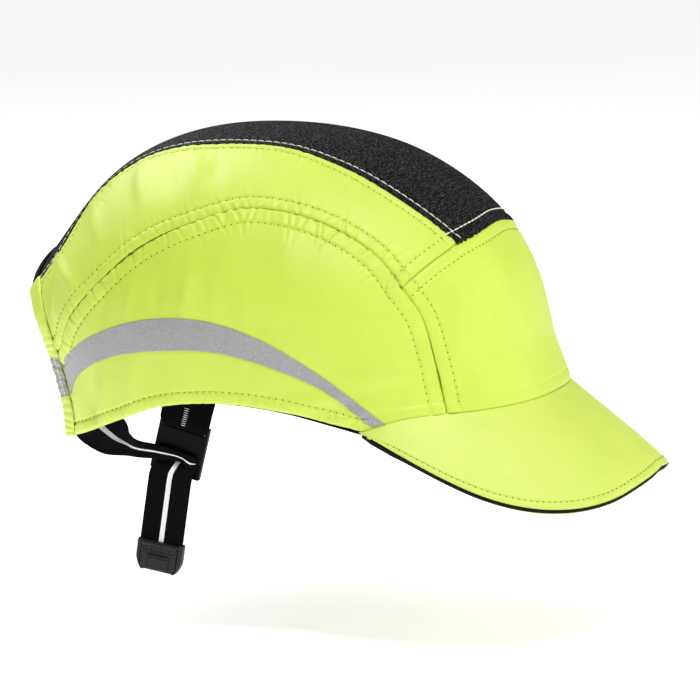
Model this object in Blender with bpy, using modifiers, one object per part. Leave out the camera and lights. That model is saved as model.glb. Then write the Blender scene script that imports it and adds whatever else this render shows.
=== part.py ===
"""Bump cap: a fabric-covered safety cap with a hard shell, a short peak and a nape strap.

Metres, +Z up, +X towards the peak, +Y towards the wearer's left.  The origin is the centre of the
head opening, at the level where the crown is widest.  The outer fabric lies on one smooth crown
surface; panels, shell, foam and trim are sheets at different depths under it or just above it.
Seams are lines of directions, given as azimuth and elevation in degrees seen from the origin,
for the wearer's right side; the left side is their mirror image.
"""

import bmesh
import bpy
import numpy as np

# Crown surface
CROWN_FRONT = 0.114
CROWN_BACK = 0.095
CROWN_SIDE = 0.093
CROWN_HEIGHT = 0.084
PLAN_POWER = 2.15
FRONT_POWER = 2.0
SIDE_POWER = 2.3
BACK_POWER = 2.4
TUCK_DEPTH = 0.050
FRONT_TUCK = -0.29
SIDE_TUCK = 0.06
BACK_TUCK = 0.03
FRONT_SWELL = (0.004, -0.015, 0.016)
BACK_SWELL = (0.013, 0.010, 0.024)

# Depths of the layers, from the outer fabric surface: top of the layer and its thickness
FABRIC = (0.0, 0.0010)
LINING = (-0.0014, 0.0007)
SHELL = (-0.0016, 0.0022)
FOAM = (-0.0052, 0.0045)
SWEATBAND = (-0.0049, 0.0040)
TAPE = (0.0007, 0.0004)
BINDING = (0.0009, 0.0005)
SEAM_INSET = 0.0003
BINDING_WIDTH = 0.0055
LINING_DROP = 0.0012
LINING_RISE = 0.0080

# Seams of the wearer's right side
HEM = ((-146, -26.6), (-134, -24.3), (-118, -19.6), (-103, -14.8), (-88, -13.1), (-70, -13.8),
       (-58, -15.6), (-52.5, -16.4))
PEAK_ROOT = ((-52.5, -16.4), (-44.5, -13.6), (-34.8, -12.0))
FRONT_HEM = ((-34.8, -12.0), (-19, -11.1), (0, -10.4), (19, -11.1), (34.8, -12.0))
REAR_EDGE_LOW = ((-146, -26.6), (-144, -21), (-145, -12), (-145, -6))
REAR_EDGE_HIGH = ((-145, -6), (-146.5, 1), (-150, 5), (-155, 7))
ARCH_REAR = ((-145, -6), (-138, -3.5), (-132, 3.5), (-122, 15), (-112, 25), (-98, 32.3), (-82, 37.3),
             (-67, 35.3), (-54, 29.2), (-46, 21.8), (-42, 14.6))
ARCH_FRONT = ((-42, 14.6), (-38.4, 8.5), (-36.2, 0), (-34.8, -12.0))
FRONT_SEAM = ((-42, 14.6), (-35, 18.6), (-23.5, 22.9))
MESH_SIDE = ((-155, 7), (-148.5, 15), (-151, 30), (-147, 47), (-133, 57), (-112, 62.5), (-91, 64),
             (-66, 61.5), (-47, 51.5), (-33, 36.5), (-23.5, 22.9))
MESH_FRONT = ((-23.5, 22.9), (-12, 24.8), (0, 25.9), (12, 24.8), (23.5, 22.9))
MESH_REAR = ((-155, 7), (-165, 11.5), (180, 14), (165, 11.5), (155, 7))
TAPE_LOW = ((-138.5, -14.6), (-132, -10.2), (-118, -3.6), (-103, -0.6), (-88, 0), (-72, -3.6), (-60, -8.6),
            (-49.5, -14.9))
TAPE_HIGH = ((-138.5, -7.2), (-132, -3.6), (-120, 2.6), (-106, 7), (-92, 7.8), (-77, 4), (-62, -4.8),
             (-49.5, -14.6))

# Inner layers, as corner directions or limits in degrees
SHELL_RIM = ((0, -3), (30, -4), (60, -5), (90, -5), (118, -8), (132, -4), (142, 6), (150, 17), (165, 23),
             (180, 25))
SHELL_STEPS = (44, 12)
SWEATBAND_REACH = (-82, 82, -9.5, 8)
SIDE_FOAM = (-128, -52, 12, 44)
FRONT_FOAM = (-36, 36, 12, 42)
REAR_FOAM = (154, 206, 31, 52)
CROWN_FOAM_PLANE = 0.080
CROWN_FOAM_SIZE = (-0.052, 0.070, 0.030)

# Peak
PEAK_REACH = 0.1035
PEAK_START = 0.0645
PEAK_HALF_WIDTH = 0.085
PEAK_POWER = 2.2
PEAK_CROWN = 0.0016
PEAK_DROP = ((0, -0.0536), (14, -0.0564), (28, -0.0606), (41, -0.0620), (52, -0.0605),
             (64, -0.0552), (75, -0.0466), (83, -0.0388), (90, -0.0312))
PEAK_COVER = 0.0008
PEAK_BOARD = 0.0020
PEAK_GAP = 0.0003
PEAK_ROOT_DROP = 0.4
BOARD_INSET = 0.0028
BOARD_ROOT_INSET = 0.0015
TRIM_RANGE = (0.0018, 0.0003)

# Straps
WEBBING = 0.0013
GAP = 0.0003
NAPE_PATH = (
    ((-0.015, 0.0835, -0.015), (0.000, 0.001, 0.0095)),
    ((-0.040, 0.0760, -0.023), (0.002, 0.000, 0.0098)),
    ((-0.066, 0.0520, -0.032), (0.002, 0.000, 0.0098)),
    ((-0.083, 0.0220, -0.037), (0.001, 0.000, 0.0098)),
    ((-0.086, -0.0040, -0.038), (0.002, 0.001, 0.0098)),
    ((-0.0800, -0.0290, -0.0385), (0.004, 0.003, 0.0086)),
    ((-0.0665, -0.0480, -0.0420), (0.0055, 0.0055, 0.0066)),
    ((-0.0545, -0.0590, -0.0452), (0.003, 0.0065, 0.0054)),
    ((-0.0430, -0.0720, -0.0448), (-0.001, 0.004, 0.0040)),
    ((-0.0325, -0.0835, -0.0440), (-0.001, 0.001, 0.0034)),
    ((-0.0230, -0.0866, -0.0440), (0.000, 0.000, 0.0030)),
    ((-0.0120, -0.0864, -0.0464), (0.000, 0.000, 0.0024)),
)
NAPE_STEPS = 44
ANCHOR_X = -0.0115
ANCHOR_Y = 0.084
ANCHOR_Z = -0.0273
ANCHOR_WIDTH = 0.022
ANCHOR_TAB = 0.0250
ANCHOR_GAP = 0.0009
ANCHOR_LEFT_Z = -0.0239
ANCHOR_TAB_DEPTH = 0.0026
BUCKLE_TILT = 13.5
BUCKLE_OUT = 0.0012
BUCKLE_TOP = -0.0042
BUCKLE_SIZE = (0.022, 0.0030, 0.0225)
BUCKLE_BEVEL = 0.0006
BUCKLE_SLOT = (0.0190, 0.0022)
BUCKLE_SLOTS_Z = (-0.0070, -0.0205)
TAIL_TILT = 8.4
TAIL_PIVOT = (-0.0184, -0.0862, -0.0537)
TAIL_WIDTH = 0.0190
TAIL_LENGTH = 0.0278
CLIP_TOP = -0.0281
CLIP_WIDTH = 0.0200
CLIP_FOOT = 0.0160
CLIP_HEIGHT = 0.0130
CLIP_STRAIGHT = 0.0075
CLIP_BACK = (0.0006, 0.0022)
CLIP_BEVEL = 0.0004
CLIP_EAR = 0.0018
EAR_HEIGHT = 0.0026
EAR_PAST_PIN = 0.0014
EAR_SUNK = 0.0003
JAW_PLATE = (-0.0018, 0.0003)
HINGE_DROP = 0.0014
HINGE_OUT = -0.0014
BARREL_RADIUS = 0.0011
PIN_RADIUS = 0.0005
PIN_BORE = 0.00062
PIN_PROUD = 0.0006
RECESS = (0.0026, 0.0007, 0.0020)
RECESS_PITCH = 0.0038
RECESS_DROP = 0.0044
TAB = (0.0084, 0.0009, 0.0055)
TAB_DROP = 0.0092

COLOURS = {
    "hi_vis_fabric": ((0.75, 0.92, 0.14), 0.75, 0.0),
    "mesh_fabric": ((0.018, 0.018, 0.016), 0.85, 0.0),
    "lining": ((0.015, 0.015, 0.017), 0.9, 0.0),
    "reflective": ((0.37, 0.37, 0.37), 0.5, 0.2),
    "shell_plastic": ((0.035, 0.035, 0.038), 0.45, 0.0),
    "foam": ((0.06, 0.06, 0.065), 0.95, 0.0),
    "board": ((0.7, 0.7, 0.68), 0.6, 0.0),
    "webbing": ((0.01, 0.01, 0.011), 0.8, 0.0),
    "buckle_plastic": ((0.012, 0.012, 0.013), 0.4, 0.0),
    "clip_plastic": ((0.022, 0.021, 0.025), 0.45, 0.0),
}


# Scene set-up

def clear_scene():
    for item in list(bpy.data.objects):
        bpy.data.objects.remove(item, do_unlink=True)


def new_collection(name):
    collection = bpy.data.collections.new(name)
    bpy.context.scene.collection.children.link(collection)
    return collection


def make_materials():
    made = {}
    for name, (colour, roughness, metallic) in COLOURS.items():
        material = bpy.data.materials.new(name)
        material.use_nodes = True
        shader = material.node_tree.nodes["Principled BSDF"]
        shader.inputs["Base Color"].default_value = (*colour, 1.0)
        shader.inputs["Roughness"].default_value = roughness
        shader.inputs["Metallic"].default_value = metallic
        made[name] = material
    return made


def add_object(name, mesh, material):
    """Put a mesh in the cap's collection under its node's name."""
    item = bpy.data.objects.new(name, mesh)
    mesh.materials.append(MATERIALS[material])
    PARTS.objects.link(item)
    return item


def add_empty(name, location, tilt_degrees):
    """A pivot whose X axis lies along its joint's axis and whose -Z axis runs down the strap."""
    pivot = bpy.data.objects.new(name, None)
    pivot.location = location
    pivot.rotation_euler = (0.0, np.radians(tilt_degrees), 0.0)
    PARTS.objects.link(pivot)
    return pivot


# Crown surface

def crown_radius(azimuth, height):
    """Distance from the vertical axis to the outer fabric."""
    c = np.cos(azimuth)
    s = np.sin(azimuth)
    ahead = c > 0
    end = c * c
    reach = np.where(ahead, CROWN_FRONT, CROWN_BACK)
    ring = (np.abs(c / reach) ** PLAN_POWER + np.abs(s / CROWN_SIDE) ** PLAN_POWER) ** (-1 / PLAN_POWER)
    power = SIDE_POWER + (np.where(ahead, FRONT_POWER, BACK_POWER) - SIDE_POWER) * end
    tuck = SIDE_TUCK + (np.where(ahead, FRONT_TUCK, BACK_TUCK) - SIDE_TUCK) * end
    above = (1 - np.clip(height / CROWN_HEIGHT, 0, 1) ** power) ** (1 / power)
    below = 1 - tuck * (height / TUCK_DEPTH) ** 2
    shape = np.where(height > 0, above, below)
    size, centre, spread = (np.where(ahead, f, b) for f, b in zip(FRONT_SWELL, BACK_SWELL))
    swell = size * end * np.exp(-((height - centre) / spread) ** 2)
    return ring * shape + swell * np.sqrt(np.clip(shape, 0, 1))


def cast(directions):
    """Where rays from the origin meet the outer fabric, by bisection."""
    near = np.full(directions.shape[:-1], 0.02)
    far = np.full(directions.shape[:-1], 0.20)
    azimuth = np.arctan2(directions[..., 1], directions[..., 0])
    level = np.hypot(directions[..., 0], directions[..., 1])
    for _ in range(40):
        middle = (near + far) / 2
        height = middle * directions[..., 2]
        outside = (middle * level > crown_radius(azimuth, height)) | (height > CROWN_HEIGHT)
        near = np.where(outside, near, middle)
        far = np.where(outside, middle, far)
    return directions * near[..., None]


def unit(vectors):
    return vectors / np.linalg.norm(vectors, axis=-1, keepdims=True)


def crown_point(directions, lift):
    """Points on the crown in the given directions, moved out along its normal by lift."""
    step = 0.004
    helper = np.where(np.abs(directions[..., 2:]) > 0.8, (1.0, 0.0, 0.0), (0.0, 0.0, 1.0))
    first = unit(np.cross(directions, helper))
    second = np.cross(directions, first)
    across = cast(unit(directions + step * first)) - cast(unit(directions - step * first))
    along = cast(unit(directions + step * second)) - cast(unit(directions - step * second))
    normal = unit(np.cross(across, along))
    outward = np.sign((normal * directions).sum(-1, keepdims=True))
    return cast(directions) + lift * normal * outward


# Lines of directions, and patches between them

def direction(azimuth, elevation):
    a = np.radians(azimuth)
    e = np.radians(elevation)
    return np.stack([np.cos(a) * np.cos(e), np.sin(a) * np.cos(e), np.sin(e)], axis=-1)


def smooth_line(points, count):
    """count + 1 points spaced evenly along a smooth curve; length is measured on the first 3 columns."""
    p = np.asarray(points, dtype=float)
    step = np.linalg.norm(np.diff(p[:, :3], axis=0), axis=1)
    t = np.concatenate([[0.0], np.cumsum(step)])
    slope = np.gradient(p, t, axis=0)
    fine = np.linspace(0, t[-1], 60 * len(p))
    i = np.clip(np.searchsorted(t, fine, side="right") - 1, 0, len(step) - 1)
    h = step[i][:, None]
    u = (fine - t[i])[:, None] / h
    line = (1 + 2 * u) * (1 - u) ** 2 * p[i] + u * (1 - u) ** 2 * h * slope[i]
    line += u * u * (3 - 2 * u) * p[i + 1] + u * u * (u - 1) * h * slope[i + 1]
    travelled = np.concatenate([[0.0], np.cumsum(np.linalg.norm(np.diff(line[:, :3], axis=0), axis=1))])
    even = np.linspace(0, travelled[-1], count + 1)
    return np.stack([np.interp(even, travelled, column) for column in line.T], axis=-1)


def seam(knots, count):
    """A line of directions through knots of azimuth and elevation."""
    a, e = np.transpose(knots)
    return unit(smooth_line(direction(a, e), count))


def joined(*lines):
    """Lines that follow each other, as one line."""
    return np.concatenate([lines[0]] + [line[1:] for line in lines[1:]])


def mirrored(line):
    return line * (1, -1, 1)


def shifted(line, towards, distance):
    """A line of directions moved sideways over the crown, to the side where towards lies."""
    side = unit(np.cross(line, np.gradient(line, axis=0)))
    side *= np.sign((side * (towards - line)).sum())
    return line + side * distance / np.linalg.norm(cast(line), axis=-1, keepdims=True)


def patch(low, high, start, end, inset=SEAM_INSET):
    """A grid of directions between four lines, drawn in from each of them by inset.

    low and high run the same way, start joins their first points and end their last ones.
    """
    middle = unit(np.concatenate([low, high]).mean(axis=0))
    corners = low[0], low[-1], high[0], high[-1]
    low, high, start, end = (shifted(line, middle, inset) for line in (low, high, start, end))
    u = np.linspace(0, 1, len(low))[:, None, None]
    v = np.linspace(0, 1, len(start))[None, :, None]
    grid = (1 - v) * low[:, None] + v * high[:, None] + (1 - u) * start[None] + u * end[None]
    grid -= (1 - u) * (1 - v) * corners[0] + u * (1 - v) * corners[1]
    grid -= (1 - u) * v * corners[2] + u * v * corners[3]
    return unit(grid)


def degree_patch(first, last, bottom, top, steps):
    """A grid of directions between two azimuths and two elevations."""
    azimuths = np.linspace(first, last, steps[0] + 1)
    elevations = np.linspace(bottom, top, steps[1] + 1)
    a, e = np.meshgrid(azimuths, elevations, indexing="ij")
    return direction(a, e)


def flipped(grid):
    """The mirror image of a grid of a right-hand piece, still facing outwards."""
    return grid[::-1] * (1, -1, 1)


# Sheets

def grid_mesh(name, points):
    """A mesh of one open sheet through a grid of points."""
    across, along = points.shape[0] - 1, points.shape[1] - 1
    sheet = bmesh.new()
    bmesh.ops.create_grid(sheet, x_segments=across, y_segments=along, size=0.5)
    for vertex in sheet.verts:
        i = round((vertex.co.x + 0.5) * across)
        j = round((vertex.co.y + 0.5) * along)
        vertex.co = points[i, j]
    mesh = bpy.data.meshes.new(name)
    sheet.to_mesh(mesh)
    sheet.free()
    return mesh


def thicken(item, thickness, offset=-1.0):
    solid = item.modifiers.new("thickness", "SOLIDIFY")
    solid.thickness = thickness
    solid.offset = offset
    item.data.shade_smooth()
    item.data.set_sharp_from_angle(angle=np.radians(50))


def crown_sheet(name, grid, layer, material):
    """A sheet at a layer's depth under the crown surface."""
    lift, thickness = layer
    item = add_object(name, grid_mesh(name, crown_point(grid, lift)), material)
    thicken(item, thickness)
    return item


def crown_pair(name, grid, layer, material):
    """A right-hand sheet and its mirror image."""
    crown_sheet("right_" + name, grid, layer, material)
    crown_sheet("left_" + name, flipped(grid), layer, material)


def strip(line, towards, outward, inward, rows):
    """A grid of directions along a line, from outward on one side to inward on the other."""
    edges = [shifted(line, towards, -outward), shifted(line, towards, inward)]
    v = np.linspace(0, 1, rows + 1)[None, :, None]
    return unit((1 - v) * edges[0][:, None] + v * edges[1][:, None])


# Fabric

def build_panels():
    arch_rear = seam(ARCH_REAR, 22)
    arch_front = seam(ARCH_FRONT, 6)
    hem = joined(seam(HEM, 18), seam(PEAK_ROOT, 4))
    side = patch(hem, arch_rear, seam(REAR_EDGE_LOW, 6), arch_front[::-1])
    crown_pair("side_panel", side, FABRIC, "hi_vis_fabric")

    mesh_side = seam(MESH_SIDE, 22)
    shoulder = patch(arch_rear, mesh_side, seam(REAR_EDGE_HIGH, 5), seam(FRONT_SEAM, 5))
    crown_pair("shoulder_panel", shoulder, FABRIC, "hi_vis_fabric")

    front_low = seam(FRONT_HEM, 16)
    front_seam = seam(FRONT_SEAM, 5)
    front_high = joined(front_seam, seam(MESH_FRONT, 6), mirrored(front_seam)[::-1])
    front = patch(front_low, front_high, arch_front[::-1], mirrored(arch_front[::-1]))
    crown_sheet("front_panel", front, FABRIC, "hi_vis_fabric")

    crown = patch(mesh_side, mirrored(mesh_side), seam(MESH_REAR, 8), seam(MESH_FRONT, 8))
    crown_sheet("crown_mesh", crown, FABRIC, "mesh_fabric")


def build_trim():
    tape_low = seam(TAPE_LOW, 24)
    tape_high = seam(TAPE_HIGH, 24)
    v = np.linspace(0, 1, 3)[None, :, None]
    tape = unit((1 - v) * tape_low[:, None] + v * tape_high[:, None])
    crown_pair("reflective_tape", tape, TAPE, "reflective")

    inside = direction(-90, 0)
    rear_edge = shortened(joined(seam(REAR_EDGE_LOW, 20), seam(REAR_EDGE_HIGH, 14)))
    binding = strip(rear_edge, inside, 0.0, BINDING_WIDTH, 2).transpose(1, 0, 2)
    crown_pair("rear_binding", binding, BINDING, "hi_vis_fabric")

    mesh_edge = shortened(seam(MESH_REAR, 14))
    mesh_binding = strip(mesh_edge, direction(180, 60), 0.0, BINDING_WIDTH, 2).transpose(1, 0, 2)
    crown_sheet("mesh_binding", mesh_binding[::-1][:, ::-1], BINDING, "lining")

    lining = strip(seam(HEM, 20), direction(-90, 60), LINING_DROP, LINING_RISE, 2)
    crown_pair("hem_lining", lining, LINING, "lining")


def shortened(line):
    """The line without its first and last steps, where it meets another band."""
    return line[1:-1]


# Shell, foam and sweatband

def build_shell():
    """A dome cut along the rim line: a half sphere whose rings are spread from the rim to the top."""
    rim_azimuth, rim_elevation = np.transpose(SHELL_RIM).astype(float)
    dome = bmesh.new()
    bmesh.ops.create_uvsphere(dome, u_segments=SHELL_STEPS[0], v_segments=2 * SHELL_STEPS[1], radius=1.0)
    below = [vertex for vertex in dome.verts if vertex.co.z < -0.01]
    bmesh.ops.delete(dome, geom=below, context="VERTS")
    corners = np.array([vertex.co for vertex in dome.verts])
    azimuth = np.degrees(np.arctan2(corners[:, 1], corners[:, 0]))
    rise = np.degrees(np.arcsin(np.clip(corners[:, 2], 0, 1))) / 90
    rim = np.interp(np.abs(azimuth), rim_azimuth, rim_elevation)
    places = crown_point(direction(azimuth, rim + (90 - rim) * rise), SHELL[0])
    for vertex, place in zip(dome.verts, places):
        vertex.co = place
    mesh = bpy.data.meshes.new("protective_shell")
    dome.to_mesh(mesh)
    dome.free()
    shell = add_object("protective_shell", mesh, "shell_plastic")
    thicken(shell, SHELL[1])


def build_padding():
    crown_pair("foam_pad", degree_patch(*SIDE_FOAM, (9, 4)), FOAM, "foam")
    crown_sheet("front_foam_pad", degree_patch(*FRONT_FOAM, (8, 5)), FOAM, "foam")
    crown_sheet("rear_foam_pad", degree_patch(*REAR_FOAM, (5, 3)), FOAM, "foam")
    back, front, half = CROWN_FOAM_SIZE
    x, y = np.meshgrid(np.linspace(back, front, 9), np.linspace(-half, half, 5), indexing="ij")
    crown = unit(np.stack([x, y, np.full_like(x, CROWN_FOAM_PLANE)], axis=-1))
    crown_sheet("crown_foam_pad", crown, FOAM, "foam")
    crown_sheet("sweatband", degree_patch(*SWEATBAND_REACH, (18, 3)), SWEATBAND, "foam")


# Peak

def peak_grid(first, last, start_in, end_in, depth, steps):
    """Points of a sheet of the peak, between two shares of its width, drawn in from root and edge."""
    share = np.linspace(first, last, steps[0] + 1)
    root_knots = [(-a, e - PEAK_ROOT_DROP) for a, e in PEAK_ROOT]
    root_knots += [(a, e - PEAK_ROOT_DROP) for a, e in FRONT_HEM[::-1][1:-1]]
    root_knots += [(a, e - PEAK_ROOT_DROP) for a, e in PEAK_ROOT[::-1]]
    root_line = crown_point(seam(root_knots, 80), 0.0)
    turn = np.linspace(90, -90, 400)
    side = np.sin(np.radians(turn))
    across = np.sign(side) * np.abs(side) ** (2 / PEAK_POWER)
    ahead = np.cos(np.radians(turn)).clip(0) ** (2 / PEAK_POWER)
    drop = smooth_line([(a, z, 0.0) for a, z in PEAK_DROP], 80)
    height = np.interp(np.abs(turn), drop[:, 0], drop[:, 1])
    outline = np.stack([PEAK_START + PEAK_REACH * ahead, PEAK_HALF_WIDTH * across, height], axis=-1)
    edge_line = smooth_line(outline[::5], 80)
    root, edge = (
        np.stack([np.interp(share, np.linspace(0, 1, 81), column) for column in line.T], axis=-1)
        for line in (root_line, edge_line)
    )
    length = np.linalg.norm(edge - root, axis=-1)
    v = np.linspace(0, 1, steps[1] + 1)[None, :]
    v = (start_in / length)[:, None] * (1 - v) + (1 - end_in / length)[:, None] * v
    flat = (1 - v)[..., None] * root[:, None] + v[..., None] * edge[:, None]
    bulge = PEAK_CROWN * 4 * v * (1 - v) * (1 - (2 * share - 1) ** 2)[:, None]
    flat[..., 2] += bulge
    normal = unit(np.cross(np.gradient(flat, axis=0), np.gradient(flat, axis=1)))
    return flat - depth * normal


def peak_sheet(name, grid, thickness, material):
    item = add_object(name, grid_mesh(name, grid), material)
    thicken(item, thickness)


def build_peak():
    board_depth = PEAK_COVER + PEAK_GAP
    under_depth = board_depth + PEAK_BOARD + PEAK_GAP
    top = peak_grid(0, 1, 0.0, 0.0, 0.0, (30, 5))
    peak_sheet("peak_top_cover", top, PEAK_COVER, "hi_vis_fabric")
    board = peak_grid(0.05, 0.95, BOARD_ROOT_INSET, BOARD_INSET, board_depth, (26, 5))
    peak_sheet("peak_board", board, PEAK_BOARD, "board")
    trim = peak_grid(0.01, 0.99, 0.0, TRIM_RANGE[1], board_depth, (34, 1))
    outer = trim[:, -1]
    inward = unit(trim[:, 0] - outer)
    half = np.linalg.norm(trim[:, 0] - outer, axis=-1) / 2
    trim[:, 0] = outer + inward * np.minimum(TRIM_RANGE[0], half)[:, None]
    peak_sheet("peak_edge_trim", trim, PEAK_BOARD, "lining")
    under = peak_grid(0.02, 0.98, 0.0, 0.0, under_depth, (30, 5))
    peak_sheet("peak_under_cover", under, PEAK_COVER, "hi_vis_fabric")


# Straps, buckle and clip

def block(name, size, centre, material, bevel=0.0):
    """A box of width, depth and height, with rounded edges."""
    solid = bmesh.new()
    bmesh.ops.create_cube(solid, size=1.0)
    for vertex in solid.verts:
        vertex.co = [c + part * length for c, part, length in zip(centre, vertex.co, size)]
    mesh = bpy.data.meshes.new(name)
    solid.to_mesh(mesh)
    solid.free()
    item = add_object(name, mesh, material)
    if bevel:
        rounding = item.modifiers.new("rounding", "BEVEL")
        rounding.width = bevel
        rounding.segments = 2
    return item


def rod(name, radius, length, centre, material, sides=16):
    """A round bar along X."""
    solid = bmesh.new()
    bmesh.ops.create_cone(solid, cap_ends=True, segments=sides, radius1=radius, radius2=radius, depth=length)
    for vertex in solid.verts:
        x, y, z = vertex.co
        vertex.co = (centre[0] + z, centre[1] + y, centre[2] - x)
    mesh = bpy.data.meshes.new(name)
    solid.to_mesh(mesh)
    solid.free()
    return add_object(name, mesh, material)


def combine(item, tool, operation):
    """Cut or join item with a tool, which is kept as a hidden guide."""
    PARTS.objects.unlink(tool)
    CUTTERS.objects.link(tool)
    tool.hide_render = True
    tool.display_type = "WIRE"
    step = item.modifiers.new(tool.name, "BOOLEAN")
    step.operation = operation
    step.solver = "EXACT"
    step.object = tool


def put_under(pivot, *items):
    for item in items:
        item.parent = pivot


def build_nape_strap():
    path = smooth_line([(*centre, *half) for centre, half in NAPE_PATH], NAPE_STEPS)
    centre, half = path[:, :3], path[:, 3:]
    v = np.array([-1.0, 0.0, 1.0])[None, :, None]
    item = add_object("nape_strap", grid_mesh("nape_strap", centre[:, None] + v * half[:, None]), "webbing")
    thicken(item, WEBBING, 0.0)


def build_anchors():
    """The doubled webbing tabs sewn inside the cap, one on each side."""
    size = (ANCHOR_WIDTH, ANCHOR_TAB_DEPTH, ANCHOR_TAB)
    hang = add_empty("anchor_frame", (ANCHOR_X, -ANCHOR_Y, ANCHOR_Z), BUCKLE_TILT)
    right = block("right_strap_anchor", size, (0, 0, ANCHOR_GAP + ANCHOR_TAB / 2), "webbing")
    put_under(hang, right)
    left_x = NAPE_PATH[0][0][0] + ANCHOR_GAP + ANCHOR_WIDTH / 2
    block("left_strap_anchor", size, (left_x, ANCHOR_Y, ANCHOR_LEFT_Z + ANCHOR_TAB / 2), "webbing")


def build_buckle():
    pivot = add_empty("buckle_pivot", (ANCHOR_X, -ANCHOR_Y, ANCHOR_Z), BUCKLE_TILT)
    width, depth, height = BUCKLE_SIZE
    webbing_length = -BUCKLE_TOP - GAP
    webbing_size = (ANCHOR_WIDTH, WEBBING, webbing_length)
    webbing = block("buckle_webbing", webbing_size, (0, 0, -webbing_length / 2), "webbing")
    centre = (0, BUCKLE_OUT, BUCKLE_TOP - height / 2)
    frame = block("buckle_frame", (width, depth, height), centre, "buckle_plastic", BUCKLE_BEVEL)
    tools = []
    for i, z in enumerate(BUCKLE_SLOTS_Z):
        slot_size = (BUCKLE_SLOT[0], 3 * depth, BUCKLE_SLOT[1])
        slot = block(f"buckle_slot_{i}", slot_size, (0, BUCKLE_OUT, z), "buckle_plastic")
        combine(frame, slot, "DIFFERENCE")
        tools.append(slot)
    put_under(pivot, webbing, frame, *tools)


def tapered_plate(name, front, back, material):
    """The clip's outline, straight at the top and drawn in towards its foot, between two depths."""
    size = (CLIP_WIDTH, back - front, CLIP_HEIGHT)
    plate = block(name, size, (0, (front + back) / 2, CLIP_TOP - CLIP_HEIGHT / 2), material)
    solid = bmesh.new()
    solid.from_mesh(plate.data)
    bend = CLIP_TOP - CLIP_STRAIGHT
    geometry = solid.verts[:] + solid.edges[:] + solid.faces[:]
    bmesh.ops.bisect_plane(solid, geom=geometry, plane_co=(0, 0, bend), plane_no=(0, 0, 1))
    for vertex in solid.verts:
        if vertex.co.z < bend - CLIP_BEVEL:
            vertex.co.x *= CLIP_FOOT / CLIP_WIDTH
    solid.to_mesh(plate.data)
    solid.free()
    rounding = plate.modifiers.new("rounding", "BEVEL")
    rounding.width = CLIP_BEVEL
    rounding.segments = 2
    rounding.limit_method = "ANGLE"
    return plate


def build_clip(pivot):
    """The folding clip on the strap's end: a back with two ears, and a jaw hinged between them."""
    hinge = (0, HINGE_OUT, CLIP_TOP - HINGE_DROP)
    body = tapered_plate("clip_body", *CLIP_BACK, "clip_plastic")
    parts = [body]
    for side in (-1, 1):
        x = side * (CLIP_WIDTH - CLIP_EAR) / 2
        depth = CLIP_BACK[0] - HINGE_OUT + EAR_PAST_PIN
        centre = (x, CLIP_BACK[0] + EAR_SUNK - depth / 2, hinge[2])
        ear = block(f"clip_ear_{side}", (CLIP_EAR, depth, EAR_HEIGHT), centre, "clip_plastic")
        combine(body, ear, "UNION")
        parts.append(ear)
    bore = rod("clip_pin_bore", PIN_BORE, 1.2 * CLIP_WIDTH, hinge, "clip_plastic")
    combine(body, bore, "DIFFERENCE")

    jaw_pivot = bpy.data.objects.new("jaw_pivot", None)
    jaw_pivot.location = hinge
    PARTS.objects.link(jaw_pivot)
    barrel_length = CLIP_WIDTH - 2 * (CLIP_EAR + GAP)
    jaw_height = CLIP_HEIGHT - HINGE_DROP - BARREL_RADIUS - CLIP_BEVEL
    front, back = (depth - HINGE_OUT for depth in JAW_PLATE)
    plate_size = (barrel_length, back - front, jaw_height + BARREL_RADIUS)
    plate_centre = (0, (front + back) / 2, -(jaw_height + BARREL_RADIUS) / 2)
    jaw = block("clip_jaw", plate_size, plate_centre, "clip_plastic")
    barrel = rod("jaw_barrel", BARREL_RADIUS, barrel_length, (0, 0, 0), "clip_plastic")
    pin = rod("jaw_pin", PIN_RADIUS, CLIP_WIDTH + 2 * PIN_PROUD, (0, 0, 0), "clip_plastic")
    tab = block("jaw_tab", TAB, (0, front, HINGE_DROP - TAB_DROP), "clip_plastic")
    for tool in (barrel, pin, tab):
        combine(jaw, tool, "UNION")
    recesses = []
    for k in (-1.5, -0.5, 0.5, 1.5):
        place = (k * RECESS_PITCH, front, HINGE_DROP - RECESS_DROP)
        recess = block(f"jaw_recess_{k}", RECESS, place, "clip_plastic")
        combine(jaw, recess, "DIFFERENCE")
        recesses.append(recess)
    put_under(jaw_pivot, jaw, barrel, pin, tab, *recesses)
    put_under(pivot, bore, jaw_pivot, *parts)


def build_tail():
    pivot = add_empty("tail_pivot", TAIL_PIVOT, TAIL_TILT)
    size = (TAIL_WIDTH, WEBBING, TAIL_LENGTH)
    tail = block("strap_tail", size, (0, 0, -TAIL_LENGTH / 2), "webbing")
    put_under(pivot, tail)
    build_clip(pivot)


clear_scene()
MATERIALS = make_materials()
PARTS = new_collection("bump_cap")
CUTTERS = new_collection("cutters")
build_panels()
build_trim()
build_shell()
build_padding()
build_peak()
build_nape_strap()
build_anchors()
build_buckle()
build_tail()
bpy.context.view_layer.update()
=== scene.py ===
"""Looks of the bump cap: sewn panels, crown mesh, tape, peak, pads, straps and clip around the CAD frame.

Everything is in metres in the frame of the CAD: +X to the peak, +Y to the wearer's left, +Z up, with
the origin at the centre of the head opening.  Cloth lies on the same crown surface as the CAD sheets;
seams are lines of directions in degrees seen from the origin, for the wearer's right side.
"""

import bmesh
import bpy
import numpy as np
from mathutils import Matrix, Vector


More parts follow.
